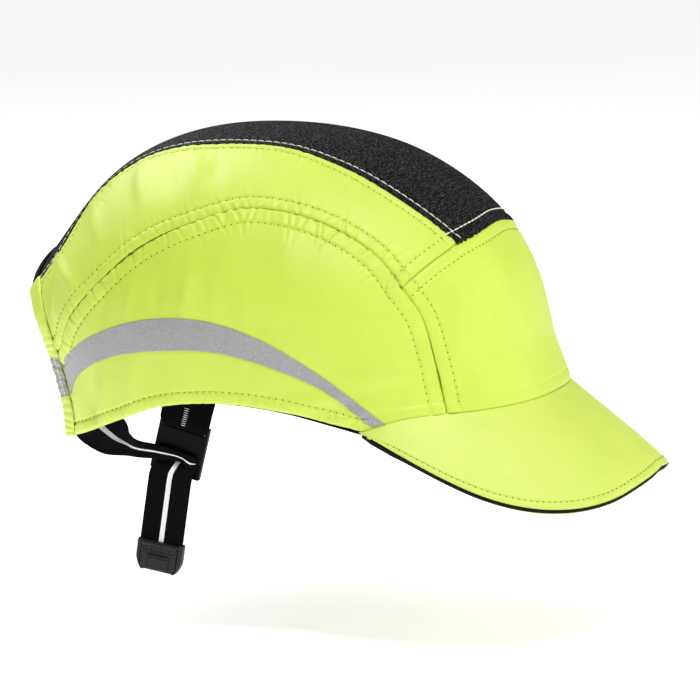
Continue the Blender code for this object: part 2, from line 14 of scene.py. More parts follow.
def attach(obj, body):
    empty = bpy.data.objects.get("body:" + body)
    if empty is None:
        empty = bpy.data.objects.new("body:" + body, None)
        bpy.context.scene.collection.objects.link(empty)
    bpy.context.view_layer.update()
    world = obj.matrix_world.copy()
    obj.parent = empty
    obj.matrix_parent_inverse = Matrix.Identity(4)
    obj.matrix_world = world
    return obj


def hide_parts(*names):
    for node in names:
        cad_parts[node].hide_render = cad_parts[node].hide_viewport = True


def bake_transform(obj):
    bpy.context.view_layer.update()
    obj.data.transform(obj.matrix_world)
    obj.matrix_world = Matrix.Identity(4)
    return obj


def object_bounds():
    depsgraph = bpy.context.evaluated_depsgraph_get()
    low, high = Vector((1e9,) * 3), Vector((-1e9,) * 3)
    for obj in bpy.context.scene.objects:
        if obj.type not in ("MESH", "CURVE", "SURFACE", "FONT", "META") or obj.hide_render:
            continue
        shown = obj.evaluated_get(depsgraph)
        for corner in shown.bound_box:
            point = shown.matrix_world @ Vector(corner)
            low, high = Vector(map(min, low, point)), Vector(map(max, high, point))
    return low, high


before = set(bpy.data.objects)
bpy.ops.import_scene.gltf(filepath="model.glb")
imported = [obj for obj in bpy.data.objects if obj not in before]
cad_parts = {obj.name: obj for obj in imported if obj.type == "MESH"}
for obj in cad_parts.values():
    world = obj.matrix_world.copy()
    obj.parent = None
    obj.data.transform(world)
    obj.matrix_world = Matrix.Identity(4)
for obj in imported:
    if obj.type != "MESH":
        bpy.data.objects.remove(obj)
CAD_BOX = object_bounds()
MM = 0.001
ARM = 0.1

# Crown surface, as in the CAD
CROWN_FRONT = 0.114
CROWN_BACK = 0.095
CROWN_SIDE = 0.093
CROWN_HEIGHT = 0.084
PLAN_POWER = 2.15
FRONT_POWER = 2.0
SIDE_POWER = 2.3
BACK_POWER = 2.4
TUCK_DEPTH = 0.050
FRONT_TUCK = -0.29
SIDE_TUCK = 0.06
BACK_TUCK = 0.03
FRONT_SWELL = (0.004, -0.015, 0.016)
BACK_SWELL = (0.013, 0.010, 0.024)

# Seams of the wearer's right side, as in the CAD; the ends of the tape differ a little from the CAD's
HEM = ((-146, -26.6), (-134, -24.3), (-118, -19.6), (-103, -14.8), (-88, -13.1), (-70, -13.8),
       (-58, -15.6), (-52.5, -16.4))
PEAK_ROOT = ((-52.5, -16.4), (-44.5, -13.6), (-34.8, -12.0))
FRONT_HEM = ((-34.8, -12.0), (-19, -11.1), (0, -10.4), (19, -11.1), (34.8, -12.0))
REAR_EDGE_LOW = ((-146, -26.6), (-144, -21), (-145, -12), (-145, -6))
REAR_EDGE_HIGH = ((-145, -6), (-146.5, 1), (-150, 5), (-155, 7))
ARCH_REAR = ((-145, -6), (-138, -3.5), (-132, 3.5), (-122, 15), (-112, 25), (-98, 32.3), (-82, 37.3),
             (-67, 35.3), (-54, 29.2), (-46, 21.8), (-42, 14.6))
ARCH_FRONT = ((-42, 14.6), (-38.4, 8.5), (-36.2, 0), (-34.8, -12.0))
FRONT_SEAM = ((-42, 14.6), (-35, 18.6), (-23.5, 22.9))
MESH_SIDE = ((-155, 7), (-148.5, 15), (-151, 30), (-147, 47), (-133, 57), (-112, 62.5), (-91, 64),
             (-66, 61.5), (-47, 51.5), (-33, 36.5), (-23.5, 22.9))
MESH_FRONT = ((-23.5, 22.9), (-12, 24.8), (0, 25.9), (12, 24.8), (23.5, 22.9))
MESH_REAR = ((-155, 7), (-165, 11.5), (180, 14), (165, 11.5), (155, 7))
TAPE_LOW = ((-138.5, -15.4), (-132, -10.2), (-118, -3.6), (-103, -0.6), (-88, 0), (-72, -3.6), (-60, -8.6),
            (-50.4, -15.4))
TAPE_HIGH = ((-139.5, -9.6), (-138.0, -7.4), (-132, -3.6), (-120, 2.6), (-106, 7), (-92, 7.8), (-77, 4),
             (-62, -4.4), (-47.6, -14.6))
SHELL_RIM = ((0, -3), (30, -4), (60, -5), (90, -5), (118, -8), (132, -4), (142, 6), (150, 17), (165, 23),
             (180, 25))
SWEATBAND_REACH = (-82, 82, -9.5, 8)
SIDE_FOAM = (-128, -52, 12, 44)
FRONT_FOAM = (-36, 36, 12, 42)
REAR_FOAM = (154, 206, 31, 52)
CROWN_FOAM_PLANE = 0.080
CROWN_FOAM_SIZE = (-0.052, 0.070, 0.030)
SHELL = (-0.0016, 0.0022)
FOAM = (-0.0052, 0.0045)
SWEATBAND = (-0.0049, 0.0040)

# Peak, as in the CAD
PEAK_REACH = 0.1035
PEAK_START = 0.0645
PEAK_HALF_WIDTH = 0.085
PEAK_POWER = 2.2
PEAK_CROWN = 0.0016
PEAK_DROP = ((0, -0.0536), (14, -0.0564), (28, -0.0606), (41, -0.0620), (52, -0.0605),
             (64, -0.0552), (75, -0.0466), (83, -0.0388), (90, -0.0312))
PEAK_ROOT_DROP = 0.4
PEAK_COVER = 0.0008
PEAK_BOARD = 0.0020
PEAK_GAP = 0.0003

# Straps, as in the CAD
WEBBING = 0.0013
NAPE_PATH = (
    ((-0.015, 0.0835, -0.015), (0.000, 0.001, 0.0095)),
    ((-0.040, 0.0760, -0.023), (0.002, 0.000, 0.0098)),
    ((-0.066, 0.0520, -0.032), (0.002, 0.000, 0.0098)),
    ((-0.083, 0.0220, -0.037), (0.001, 0.000, 0.0098)),
    ((-0.086, -0.0040, -0.038), (0.002, 0.001, 0.0098)),
    ((-0.0800, -0.0290, -0.0385), (0.004, 0.003, 0.0086)),
    ((-0.0665, -0.0480, -0.0420), (0.0055, 0.0055, 0.0066)),
    ((-0.0545, -0.0590, -0.0452), (0.003, 0.0065, 0.0054)),
    ((-0.0430, -0.0720, -0.0448), (-0.001, 0.004, 0.0040)),
    ((-0.0325, -0.0835, -0.0440), (-0.001, 0.001, 0.0034)),
    ((-0.0230, -0.0866, -0.0440), (0.000, 0.000, 0.0030)),
    ((-0.0120, -0.0864, -0.0464), (0.000, 0.000, 0.0024)),
)
ANCHOR = (-0.0115, -0.084, -0.0273)
BUCKLE_TILT = 13.5
TAIL_TILT = 8.4
TAIL_PIVOT = (-0.0184, -0.0862, -0.0537)
TAIL_WIDTH = 0.0190
TAIL_LENGTH = 0.0278
CLIP_TOP = -0.0281
CLIP_WIDTH = 0.0200
CLIP_HEIGHT = 0.0130
CLIP_BACK = (0.0006, 0.0022)
JAW_PLATE = (-0.0018, 0.0003)
HINGE_DROP = 0.0014
HINGE_OUT = -0.0014
BARREL_RADIUS = 0.0011

# Cloth
CLOTH = 0.0005
SEAM_INSET = 0.00004
DIP = (0.00045, 0.00070)
GROOVE = (0.00035, 0.00060)
PUFF = 0.00028
DEEPEST = -0.00105
SIDE_ROW = 0.0068
SHOULDER_ROW = 0.0056
FRONT_ROW = 0.0060
ROW = 0.0052
MESH_ROW = 0.0036
HEM_ROW = 0.0050
STITCH_PITCH = 0.0028
THREAD = 0.00017
MESH_THREAD_LIFT = 0.00022
MESH_THREAD_OVERRUN = 0.0034
# needle holes are dark capsules of painted shade: their radius, and how far they reach each way as a share of
# the gap
HOLE_SHADE = 0.00030
HOLE_SHADE_SHARE = 0.45
CAST_STEPS = 40
WAVE_COUNT = 7


# Crown surface

def crown_radius(azimuth, height):
    """Distance from the vertical axis to the outer fabric."""
    c = np.cos(azimuth)
    s = np.sin(azimuth)
    ahead = c > 0
    end = c * c
    reach = np.where(ahead, CROWN_FRONT, CROWN_BACK)
    ring = (np.abs(c / reach) ** PLAN_POWER + np.abs(s / CROWN_SIDE) ** PLAN_POWER) ** (-1 / PLAN_POWER)
    power = SIDE_POWER + (np.where(ahead, FRONT_POWER, BACK_POWER) - SIDE_POWER) * end
    tuck = SIDE_TUCK + (np.where(ahead, FRONT_TUCK, BACK_TUCK) - SIDE_TUCK) * end
    above = (1 - np.clip(height / CROWN_HEIGHT, 0, 1) ** power) ** (1 / power)
    below = 1 - tuck * (height / TUCK_DEPTH) ** 2
    shape = np.where(height > 0, above, below)
    size, centre, spread = (np.where(ahead, f, b) for f, b in zip(FRONT_SWELL, BACK_SWELL))
    swell = size * end * np.exp(-((height - centre) / spread) ** 2)
    return ring * shape + swell * np.sqrt(np.clip(shape, 0, 1))


def cast(directions):
    """Where rays from the origin meet the outer fabric, by bisection."""
    near = np.full(directions.shape[:-1], 0.02)
    far = np.full(directions.shape[:-1], 0.20)
    azimuth = np.arctan2(directions[..., 1], directions[..., 0])
    level = np.hypot(directions[..., 0], directions[..., 1])
    for _ in range(CAST_STEPS):
        middle = (near + far) / 2
        height = middle * directions[..., 2]
        outside = (middle * level > crown_radius(azimuth, height)) | (height > CROWN_HEIGHT)
        near = np.where(outside, near, middle)
        far = np.where(outside, middle, far)
    return directions * near[..., None]


def unit(vectors):
    return vectors / np.maximum(np.linalg.norm(vectors, axis=-1, keepdims=True), 1e-12)


def crown_normal(directions):
    step = 0.004
    helper = np.where(np.abs(directions[..., 2:]) > 0.8, (1.0, 0.0, 0.0), (0.0, 0.0, 1.0))
    first = unit(np.cross(directions, helper))
    second = np.cross(directions, first)
    across = cast(unit(directions + step * first)) - cast(unit(directions - step * first))
    along = cast(unit(directions + step * second)) - cast(unit(directions - step * second))
    normal = unit(np.cross(across, along))
    return normal * np.sign((normal * directions).sum(-1, keepdims=True))


def crown_point(directions, lift):
    """Points on the crown in the given directions, moved out along its normal by lift."""
    lift = np.asarray(lift)
    if lift.ndim:
        lift = lift[..., None]
    return cast(directions) + lift * crown_normal(directions)


# Lines of directions, and patches between them

def direction(azimuth, elevation):
    a = np.radians(azimuth)
    e = np.radians(elevation)
    return np.stack([np.cos(a) * np.cos(e), np.sin(a) * np.cos(e), np.sin(e)], axis=-1)


def travelled(line):
    """Length run along a line at each of its points."""
    return np.concatenate([[0.0], np.cumsum(np.linalg.norm(np.diff(line[:, :3], axis=0), axis=1))])


def smooth_line(points, count):
    """count + 1 points spaced evenly along a smooth curve; length is measured on the first 3 columns."""
    p = np.asarray(points, dtype=float)
    t = travelled(p)
    step = np.diff(t)
    slope = np.gradient(p, t, axis=0)
    fine = np.linspace(0, t[-1], 60 * len(p))
    i = np.clip(np.searchsorted(t, fine, side="right") - 1, 0, len(step) - 1)
    h = step[i][:, None]
    u = (fine - t[i])[:, None] / h
    line = (1 + 2 * u) * (1 - u) ** 2 * p[i] + u * (1 - u) ** 2 * h * slope[i]
    line += u * u * (3 - 2 * u) * p[i + 1] + u * u * (u - 1) * h * slope[i + 1]
    return resampled(line, count)


def resampled(line, count):
    """count + 1 points spaced evenly along a line of straight steps."""
    run = travelled(line)
    even = np.linspace(0, run[-1], count + 1)
    return np.stack([np.interp(even, run, column) for column in line.T], axis=-1)


def seam(knots, count):
    """A line of directions through knots of azimuth and elevation."""
    a, e = np.transpose(knots)
    return unit(smooth_line(direction(a, e), count))


def joined(*lines):
    """Lines that follow each other, as one line."""
    return np.concatenate([lines[0]] + [line[1:] for line in lines[1:]])


def mirrored(line):
    return line * (1, -1, 1)


def shifted(line, towards, distance):
    """A line of directions moved sideways over the crown, to the side where towards lies."""
    side = unit(np.cross(line, np.gradient(line, axis=0)))
    side *= np.sign((side * (towards - line)).sum())
    arm = np.linalg.norm(cast(line), axis=-1, keepdims=True)
    return unit(line + side * np.asarray(distance)[..., None] / arm)


def run_on(line, reach):
    """A line of directions carried on at both ends by a length."""
    steps = np.linspace(1, 0.1, 10)[:, None] * reach / ARM
    before = line[0] + unit(line[0] - line[3]) * steps
    after = line[-1] + unit(line[-1] - line[-4]) * steps[::-1]
    return unit(np.concatenate([before, line, after]))


def patch(low, high, start, end, inset=SEAM_INSET):
    """A grid of directions between four lines, drawn in from each of them by inset.

    low and high run the same way, start joins their first points and end their last ones.
    """
    middle = unit(np.concatenate([low, high]).mean(axis=0))
    corners = low[0], low[-1], high[0], high[-1]
    low, high, start, end = (shifted(line, middle, inset) for line in (low, high, start, end))
    u = np.linspace(0, 1, len(low))[:, None, None]
    v = np.linspace(0, 1, len(start))[None, :, None]
    grid = (1 - v) * low[:, None] + v * high[:, None] + (1 - u) * start[None] + u * end[None]
    grid -= (1 - u) * (1 - v) * corners[0] + u * (1 - v) * corners[1]
    grid -= (1 - u) * v * corners[2] + u * v * corners[3]
    return unit(grid)


def between(low, high, rows):
    """A grid of directions from one line to another."""
    v = np.linspace(0, 1, rows + 1)[None, :, None]
    return unit((1 - v) * low[:, None] + v * high[:, None])


def degree_patch(first, last, bottom, top, steps):
    """A grid of directions between two azimuths and two elevations."""
    azimuths = np.linspace(first, last, steps[0] + 1)
    elevations = np.linspace(bottom, top, steps[1] + 1)
    return direction(*np.meshgrid(azimuths, elevations, indexing="ij"))


def flipped(grid):
    """The mirror image of a grid of a right-hand piece, still facing outwards."""
    return grid[::-1] * (1, -1, 1)


# Cloth relief

def near(points, line):
    """Distance of each point to a line, and how far along the line that is."""
    flat = points.reshape(-1, 3)
    best = np.empty(len(flat), int)
    for start in range(0, len(flat), 4000):
        block = flat[start:start + 4000]
        best[start:start + 4000] = ((block[:, None] - line[None]) ** 2).sum(-1).argmin(1)
    tangent = unit(np.gradient(line, axis=0))[best]
    gap = flat - line[best]
    run = (gap * tangent).sum(-1)
    sideways = np.linalg.norm(gap - run[:, None] * tangent, axis=-1)
    past = ((best == 0) & (run < 0)) | ((best == len(line) - 1) & (run > 0))
    distance = np.where(past, np.linalg.norm(gap, axis=-1), sideways)
    return distance.reshape(points.shape[:-1]), (travelled(line)[best] + run).reshape(points.shape[:-1])


def creases(distance, along, length, seed, spacing, depth, reach):
    """Sharp little folds that run out from a seam at uneven places."""
    rng = np.random.default_rng(seed)
    places = np.cumsum(rng.uniform(0.5, 1.5, int(length / spacing) + 2) * spacing)
    total = np.zeros_like(distance)
    for place in places[places < length]:
        strength = depth * rng.uniform(0.3, 1.0)
        width = rng.uniform(0.75, 1.35) * MM
        lean = rng.uniform(-0.45, 0.45)
        far = reach * rng.uniform(0.5, 1.2)
        core = np.exp(-((along - place + lean * distance) / width) ** 2)
        swell = np.exp(-((along - place + lean * distance) / (2.4 * width)) ** 2)
        total += strength * (0.75 * swell - core) * np.exp(-(distance / far) ** 2)
    return total


def sewn(points, line, row, seed, pucker=0.00060, spacing=0.0045, reach=0.0095):
    """Height of cloth beside a seam: it dips in, puffs up to the stitch row, and puckers."""
    distance, along = near(points, line)
    dip = -DIP[0] * np.exp(-(distance / DIP[1]) ** 2)
    puff = PUFF * np.sin(np.pi * np.clip(distance / row, 0, 1))
    groove = -GROOVE[0] * np.exp(-((distance - row) / GROOVE[1]) ** 2)
    return dip + puff + groove + creases(distance, along, travelled(line)[-1], seed, spacing, pucker, reach)


def folds(points, made):
    """Soft folds: each has a place, a heading in degrees from level, a length, a width and a height."""
    total = np.zeros(points.shape[:-1])
    for azimuth, elevation, heading, length, width, height in made:
        centre_direction = direction(azimuth, elevation)
        centre = cast(centre_direction)
        normal = crown_normal(centre_direction)
        level = unit(np.cross((0.0, 0.0, 1.0), normal))
        rise = np.cross(normal, level)
        turn = np.radians(heading)
        run = np.cos(turn) * level + np.sin(turn) * rise
        gap = points - centre
        a = gap @ run
        b = gap @ np.cross(normal, run)
        total += height * np.exp(-(a / length) ** 2 - (b / width) ** 2)
    return total


def waves(points, size, height, seed):
    """Slow uneven swells: a few sine waves in random headings."""
    rng = np.random.default_rng(seed)
    total = np.zeros(points.shape[:-1])
    for _ in range(WAVE_COUNT):
        heading = unit(rng.normal(size=3))
        total += np.sin(points @ heading * 2 * np.pi / (size * rng.uniform(0.6, 1.6)) + rng.uniform(0, 6.28))
    return height * total / WAVE_COUNT


# Meshes

def grid_faces(rows, columns):
    i, j = np.meshgrid(np.arange(rows - 1), np.arange(columns - 1), indexing="ij")
    first = (i * columns + j).ravel()
    return np.stack([first, first + columns, first + columns + 1, first + 1], axis=-1)


def slab_faces(rows, columns):
    """Faces of a closed slab whose points are an outer grid followed by an inner one."""
    faces = grid_faces(rows, columns)
    count = rows * columns
    index = np.arange(count).reshape(rows, columns)
    rim = np.concatenate([index[:-1, 0], index[-1, :-1], index[:0:-1, -1], index[0, :0:-1]])
    after = np.roll(rim, -1)
    walls = np.stack([rim, after, after + count, rim + count], axis=-1)
    return np.concatenate([faces, faces[:, ::-1] + count, walls]).tolist()


def add_mesh(name, points, faces, material, uv=None):
    """A smooth-shaded mesh object; uv holds metres on the cloth for each point."""
    mesh = bpy.data.meshes.new(name)
    mesh.from_pydata(np.asarray(points).tolist(), [], faces if isinstance(faces, list) else faces.tolist())
    if uv is not None:
        layer = mesh.uv_layers.new(name="cloth")
        corners = np.zeros(len(mesh.loops), np.int32)
        mesh.loops.foreach_get("vertex_index", corners)
        layer.data.foreach_set("uv", np.asarray(uv)[corners].astype(np.float32).ravel())
    mesh.materials.append(material)
    mesh.shade_smooth()
    item = bpy.data.objects.new(name, mesh)
    bpy.context.scene.collection.objects.link(item)
    return item


def grid_uv(points):
    """Metres run along each way of a grid, from its middle lines."""
    u = np.concatenate([[0.0], np.cumsum(np.linalg.norm(np.diff(points, axis=0), axis=-1).mean(axis=1))])
    v = np.concatenate([[0.0], np.cumsum(np.linalg.norm(np.diff(points, axis=1), axis=-1).mean(axis=0))])
    return np.stack(np.meshgrid(u, v, indexing="ij"), axis=-1).reshape(-1, 2)


def sheet(name, points, thickness, material, keep=None):
    """A sheet of cloth through a grid of points, with its thickness on the inner side."""
    rows, columns = points.shape[:2]
    faces = grid_faces(rows, columns)
    if keep is not None:
        faces = faces[keep.ravel()]
    item = add_mesh(name, points.reshape(-1, 3), faces, material, grid_uv(points))
    solid = item.modifiers.new("thickness", "SOLIDIFY")
    solid.thickness = thickness
    solid.offset = -1.0
    return item


def apply_modifiers(item):
    """Replace a piece's mesh by its evaluated one."""
    graph = bpy.context.evaluated_depsgraph_get()
    mesh = bpy.data.meshes.new_from_object(item.evaluated_get(graph))
    item.modifiers.clear()
    item.data = mesh


def finish_piece(item, body, slot, *nodes):
    """Tie a piece to its body and hide the CAD nodes that it stands for; slot is not used."""
    if body:
        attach(item, body)
    if nodes:
        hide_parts(*nodes)
    return item


# Stitches

def capsule_row(name, starts, ends, up, radius, bow, material, sides=6, rings=5):
    """Short threads, each an arc from a start to an end that stands out along up."""
    share = np.linspace(0, 1, rings)
    along = unit(ends - starts)
    side = unit(np.cross(along, up))
    centre = starts[:, None] + share[None, :, None] * (ends - starts)[:, None]
    centre = centre + (bow * np.sin(np.pi * share))[None, :, None] * up[:, None]
    girth = radius * np.sqrt(np.clip(1 - (2 * share - 1) ** 6, 0.03, 1))
    turn = np.linspace(0, 2 * np.pi, sides, endpoint=False)
    ring = np.cos(turn)[None, None, :, None] * side[:, None, None]
    ring = ring + np.sin(turn)[None, None, :, None] * up[:, None, None]
    points = centre[:, :, None] + girth[None, :, None, None] * ring
    count = len(starts)
    k, i, j = np.meshgrid(np.arange(count), np.arange(rings - 1), np.arange(sides), indexing="ij")
    base = (k * rings + i) * sides
    following = (j + 1) % sides
    faces = np.stack([base + j, base + following, base + sides + following, base + sides + j], axis=-1)
    caps = []
    for k in range(count):
        first = k * rings * sides
        last = first + (rings - 1) * sides
        caps.append([first + j for j in range(sides)][::-1])
        caps.append([last + j for j in range(sides)])
    return add_mesh(name, points.reshape(-1, 3), faces.reshape(-1, 4).tolist() + caps, material)


def stitches(name, body, slot, points, normals, thread, pitch=STITCH_PITCH, gap=0.00055, holes=True,
             radius=THREAD, bow=0.00012):
    """A row of threads along a line of points, with needle holes between them drawn as dark capsules: painted
    shade.
    """
    count = max(2, int(travelled(points)[-1] / pitch))
    marks = resampled(np.concatenate([points, normals], axis=1), count * 4)
    points, up = marks[:, :3], unit(marks[2::4, 3:])
    run = unit(points[4::4] - points[:-4:4])
    starts = points[:-4:4] + run * gap / 2
    ends = points[4::4] - run * gap / 2
    finish_piece(capsule_row(name, starts, ends, up, radius, bow, thread), body, slot)
    # dark capsules between the threads: painted shade in the needle holes
    if holes:
        low = points[:-4:4] - run * gap * HOLE_SHADE_SHARE
        high = points[:-4:4] + run * gap * HOLE_SHADE_SHARE
        hole_shade = capsule_row(name + "_hole_painted_shade", low, high, up, HOLE_SHADE, 0.00003, MATERIALS["needle_hole_painted_shade"])
        finish_piece(hole_shade, body, slot)


def stitch_row(name, line, height, thread, **settings):
    """Stitches on the crown's cloth along a line of directions."""
    lift = np.maximum(height(line), DEEPEST)
    stitches(name, "cap", "hi_vis_fabric", crown_point(line, lift), crown_normal(line), thread, **settings)


# Materials

def new_material(name):
    material = bpy.data.materials.new(name)
    material.use_nodes = True
    tree = material.node_tree
    return material, tree, tree.nodes["Principled BSDF"]


def add_node(tree, kind, **settings):
    node = tree.nodes.new(kind)
    for key, value in settings.items():
        if key in node.inputs:
            node.inputs[key].default_value = value
        else:
            setattr(node, key, value)
    return node


def ramp_between(tree, factor, low, high, start=0.3, stop=0.7):
    ramp = add_node(tree, "ShaderNodeValToRGB")
    ramp.color_ramp.elements[0].position = start
    ramp.color_ramp.elements[0].color = (*low, 1.0)
    ramp.color_ramp.elements[1].position = stop
    ramp.color_ramp.elements[1].color = (*high, 1.0)
    tree.links.new(factor, ramp.inputs["Fac"])
    return ramp.outputs["Color"]


def cloth_uv(tree, scale):
    place = add_node(tree, "ShaderNodeUVMap", uv_map="cloth")
    mapping = add_node(tree, "ShaderNodeMapping")
    mapping.inputs["Scale"].default_value = scale
    tree.links.new(place.outputs["UV"], mapping.inputs["Vector"])
    return mapping.outputs["Vector"]


def bump(tree, shader, height, strength, distance):
    node = add_node(tree, "ShaderNodeBump", Strength=strength, Distance=distance)
    tree.links.new(height, node.inputs["Height"])
    tree.links.new(node.outputs["Normal"], shader.inputs["Normal"])


def woven_material(name, low, high, roughness, pitch, weave=0.35, sheen=0.0, tint=(1, 1, 1), specular=0.3):
    """Plain woven cloth: two crossed bands of yarn, patchy colour and a soft sheen."""
    material, tree, shader = new_material(name)
    vector = cloth_uv(tree, (1 / pitch, 1 / pitch, 1 / pitch))
    across = add_node(tree, "ShaderNodeTexWave", Scale=0.314, Distortion=0.6, bands_direction="X")
    along = add_node(tree, "ShaderNodeTexWave", Scale=0.314, Distortion=0.6, bands_direction="Y")
    tree.links.new(vector, across.inputs["Vector"])
    tree.links.new(vector, along.inputs["Vector"])
    weave_height = add_node(tree, "ShaderNodeMath", operation="MAXIMUM")
    tree.links.new(across.outputs["Fac"], weave_height.inputs[0])
    tree.links.new(along.outputs["Fac"], weave_height.inputs[1])
    bump(tree, shader, weave_height.outputs[0], weave, 0.00012)
    place = add_node(tree, "ShaderNodeTexCoord")
    patches = add_node(tree, "ShaderNodeTexNoise", Scale=38.0, Detail=5.0, Roughness=0.6)
    tree.links.new(place.outputs["Object"], patches.inputs["Vector"])
    mixed = add_node(tree, "ShaderNodeMath", operation="MULTIPLY_ADD")
    tree.links.new(weave_height.outputs[0], mixed.inputs[0])
    mixed.inputs[1].default_value = 0.25
    tree.links.new(patches.outputs["Fac"], mixed.inputs[2])
    colour = ramp_between(tree, mixed.outputs[0], low, high, 0.35, 0.85)
    tree.links.new(colour, shader.inputs["Base Color"])
    shader.inputs["Roughness"].default_value = roughness
    shader.inputs["Specular IOR Level"].default_value = specular
    shader.inputs["Sheen Weight"].default_value = sheen
    shader.inputs["Sheen Roughness"].default_value = 0.45
    shader.inputs["Sheen Tint"].default_value = (*tint, 1.0)
    return material


def speckled_material(name, low, high, scale, roughness, metallic=0.0, strength=0.2, distance=0.0001,
                      specular=0.5, spread=(0.3, 0.7)):
    """Moulded plastic, tape or thread: fine noise in the colour and in the surface."""
    material, tree, shader = new_material(name)
    place = add_node(tree, "ShaderNodeTexCoord")
    grain = add_node(tree, "ShaderNodeTexNoise", Scale=scale, Detail=3.0, Roughness=0.7)
    tree.links.new(place.outputs["Object"], grain.inputs["Vector"])
    tree.links.new(ramp_between(tree, grain.outputs["Fac"], low, high, *spread), shader.inputs["Base Color"])
    bump(tree, shader, grain.outputs["Fac"], strength, distance)
    shader.inputs["Roughness"].default_value = roughness
    shader.inputs["Metallic"].default_value = metallic
    shader.inputs["Specular IOR Level"].default_value = specular
    return material


def make_materials():
    yellow = dict(roughness=0.52, pitch=0.0005, weave=0.30, sheen=0.05, tint=(1.0, 1.0, 0.95), specular=1.0)
    return {
        "hi_vis": woven_material("hi_vis", (0.60, 0.78, 0.045), (0.685, 0.85, 0.070), **yellow),
        # the peak's cloth is the hi-vis cloth painted paler: a painted highlight for the light on the peak
        "peak_cloth_painted_highlight": woven_material("peak_cloth_painted_highlight", (0.64, 0.80, 0.08), (0.73, 0.87, 0.12), **yellow),
        "thread": speckled_material("thread", (0.66, 0.85, 0.08), (0.78, 0.93, 0.16), 3000, 0.6),
        "peak_thread": speckled_material("peak_thread", (0.58, 0.74, 0.06), (0.68, 0.84, 0.10), 3000, 0.6),
        "pale_thread": speckled_material("pale_thread", (0.80, 0.82, 0.58), (0.90, 0.91, 0.72), 3000, 0.6),
        # needle holes: a dark colour that is painted shade in the holes
        "needle_hole_painted_shade": speckled_material("needle_hole_painted_shade", (0.03, 0.045, 0.003), (0.08, 0.11, 0.008), 2000, 0.9),
        # crown mesh: black, with grey specks in its colour that are painted highlights on the knit
        "mesh": speckled_material("mesh", (0.0006, 0.0006, 0.0006), (0.085, 0.085, 0.088), 1150, 0.6,
                                  specular=0.10, spread=(0.49, 0.63)),
        "tape": speckled_material("tape", (0.30, 0.30, 0.31), (0.46, 0.46, 0.46), 1400, 0.5, 0.15, 0.35),
        "lining": woven_material("lining", (0.0015, 0.0015, 0.0016), (0.004, 0.004, 0.0045), 0.8, 0.0006, 0.5,
                                 specular=0.1),
        "webbing": woven_material("webbing", (0.0012, 0.0012, 0.0013), (0.0035, 0.0035, 0.004), 0.7, 0.0006,
                                  0.5, specular=0.05),
        "stripe": speckled_material("stripe", (0.78, 0.80, 0.81), (0.94, 0.95, 0.95), 2500, 0.5, 0.1),
        "shell": speckled_material("shell", (0.020, 0.020, 0.022), (0.034, 0.034, 0.037), 700, 0.42),
        "foam": woven_material("foam", (0.020, 0.020, 0.022), (0.045, 0.045, 0.048), 0.9, 0.0009, 0.8),
        "terry": speckled_material("terry", (0.012, 0.012, 0.013), (0.035, 0.035, 0.038), 1100, 0.95, 0, 0.9,
                                   0.0006),
        "board": speckled_material("board", (0.55, 0.55, 0.53), (0.66, 0.66, 0.64), 300, 0.5),
        "plastic": speckled_material("plastic", (0.0008, 0.0008, 0.0009), (0.0025, 0.0025, 0.0027), 900, 0.42,
                                     specular=0.10),
        "clip": speckled_material("clip", (0.006, 0.0055, 0.0075), (0.011, 0.010, 0.0135), 1200, 0.42,
                                  strength=0.3, specular=0.32),
    }


# Camera, light and floor

CAMERA_AZIMUTH = 20.0
CAMERA_ELEVATION = 9.0
CAMERA_DISTANCE = 1.5
CAMERA_LENS = 179.4
AIM_RIGHT = 0.02849
AIM_UP = -0.01387
LIGHTS = (
    ("key", (0.72, -0.64, 1.58), (0.02, 0, 0.0), 0.35, 21.0),
    ("fill", (-1.3, -1.1, 0.5), (0, 0, -0.02), 1.2, 0.15),
    ("rim", (-0.9, 0.6, 1.1), (0, 0, 0), 1.0, 12.0),
    ("front", (1.3, 0.5, 0.55), (0, 0, 0), 1.0, 2.8),
)
FLOOR_DROP = 0.030
FLOOR_SIDE = 16.0
FLOOR_GLOW = (0.66, 0.34)
FLOOR_FADE = (0.05, 0.55)


def add_area(name, location, target, size, energy):
    light = bpy.data.lights.new(name, "AREA")
    light.shape = "DISK"
    light.size = size
    light.energy = energy
    item = bpy.data.objects.new(name, light)
    item.location = location
    item.rotation_euler = (Vector(target) - Vector(location)).to_track_quat("-Z", "Y").to_euler()
    bpy.context.scene.collection.objects.link(item)


def build_studio():
    a, e = np.radians([CAMERA_AZIMUTH, CAMERA_ELEVATION])
    back = Vector((np.sin(a) * np.cos(e), -np.cos(a) * np.cos(e), np.sin(e)))
    right = Vector((np.cos(a), np.sin(a), 0.0))
    up = back.cross(right)
    camera = bpy.data.objects.new("camera", bpy.data.cameras.new("camera"))
    camera.data.lens = CAMERA_LENS
    camera.data.sensor_width = 36.0
    camera.location = back * CAMERA_DISTANCE
    aim = right * AIM_RIGHT + up * AIM_UP
    camera.rotation_euler = (aim - camera.location).to_track_quat("-Z", "Y").to_euler()
    bpy.context.scene.collection.objects.link(camera)
    bpy.context.scene.camera = camera

    world = bpy.data.worlds.new("studio")
    world.use_nodes = True
    world.node_tree.nodes["Background"].inputs["Color"].default_value = (1.0, 1.0, 1.0, 1.0)
    world.node_tree.nodes["Background"].inputs["Strength"].default_value = 0.25
    bpy.context.scene.world = world
    bpy.context.scene.view_settings.view_transform = "Standard"

    for light in LIGHTS:
        add_area(*light)
    build_floor(a)


